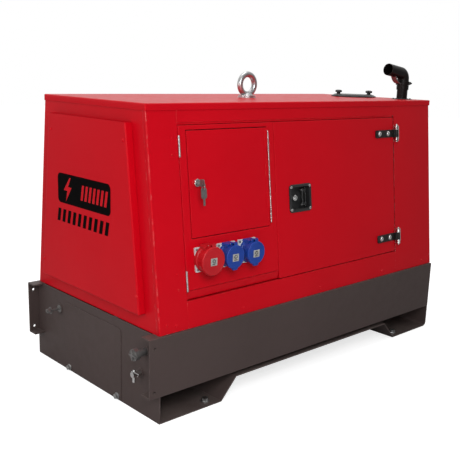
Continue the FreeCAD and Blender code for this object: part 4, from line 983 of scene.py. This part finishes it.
nt.links.new(fmx.outputs[0], fout.inputs[0])
me.materials.append(fm)

world = bpy.data.worlds.new("studio")
scene.world = world
world.use_nodes = True
wt = world.node_tree
for n in list(wt.nodes):
    wt.nodes.remove(n)
wo = wt.nodes.new("ShaderNodeOutputWorld")
bg = wt.nodes.new("ShaderNodeBackground")
# the studio is bright behind and above the machine and dim on the side it is seen from
bg.inputs[0].default_value = (1, 1, 1, 1)
wtc = wt.nodes.new("ShaderNodeTexCoord")
wdot = wt.nodes.new("ShaderNodeVectorMath")
wdot.operation = "DOT_PRODUCT"
wdot.inputs[1].default_value = (0.30, 0.66, 0.69)
wt.links.new(wtc.outputs["Generated"], wdot.inputs[0])
wst = ramp(wt, wdot.outputs["Value"], -0.35, 0.75, 0.13, 0.85)
wt.links.new(wst, bg.inputs[1])
wbg = wt.nodes.new("ShaderNodeBackground")
wbg.inputs[0].default_value = (1, 1, 1, 1)
wbg.inputs[1].default_value = 1.0
wlp = wt.nodes.new("ShaderNodeLightPath")
wmx = wt.nodes.new("ShaderNodeMixShader")
wt.links.new(wlp.outputs["Is Camera Ray"], wmx.inputs[0])
wt.links.new(bg.outputs[0], wmx.inputs[1])
wt.links.new(wbg.outputs[0], wmx.inputs[2])
wt.links.new(wmx.outputs[0], wo.inputs[0])


def area(name, loc, target, size, power, size_y=None):
    l = bpy.data.lights.new(name, "AREA")
    l.energy = power
    l.size = size
    if size_y:
        l.shape = "RECTANGLE"
        l.size_y = size_y
    o = bpy.data.objects.new(name, l)
    scene.collection.objects.link(o)
    o.location = loc
    o.rotation_euler = (Vector(target) - Vector(loc)).to_track_quat("-Z", "Y").to_euler()
    return o


area("key", (-1.55, -2.05, 1.75), (-0.5, -0.3, 0.5), 1.2, 37)
area("fill", (-3.6, 0.2, 1.3), (-0.6, 0.0, 0.5), 1.4, 22)
area("top", (0.15, 0.35, 3.0), (0.1, 0.0, 0.9), 1.6, 20)
area("strip", (-2.35, -2.05, 0.62), (-0.66, -0.35, 0.62), 0.10, 5, 1.3)
area("low", (-0.6, -2.6, 0.35), (0.0, -0.3, 0.1), 0.8, 3, 0.4)

cam_data = bpy.data.cameras.new("camera")
cam_data.lens = 57.05
cam_data.sensor_width = 36.0
cam_data.shift_x = -0.0056
cam_data.shift_y = 0.0237
cam_data.clip_end = 100.0
cam = bpy.data.objects.new("camera", cam_data)
scene.collection.objects.link(cam)
pos = Vector((-1.8587, -1.9272, 1.0250))
look = (Vector((-0.0635, 0.0, 0.4017)) - pos).normalized()
right = look.cross(Vector((0, 0, 1))).normalized()
upv = right.cross(look)
roll = math.radians(1.797)
r2 = right * math.cos(roll) + upv * math.sin(roll)
u2 = upv * math.cos(roll) - right * math.sin(roll)
m = Matrix((r2, u2, -look)).transposed().to_4x4()
m.translation = pos
cam.matrix_world = m
scene.camera = cam
scene.view_settings.view_transform = "Standard"
scene.view_settings.look = "None"
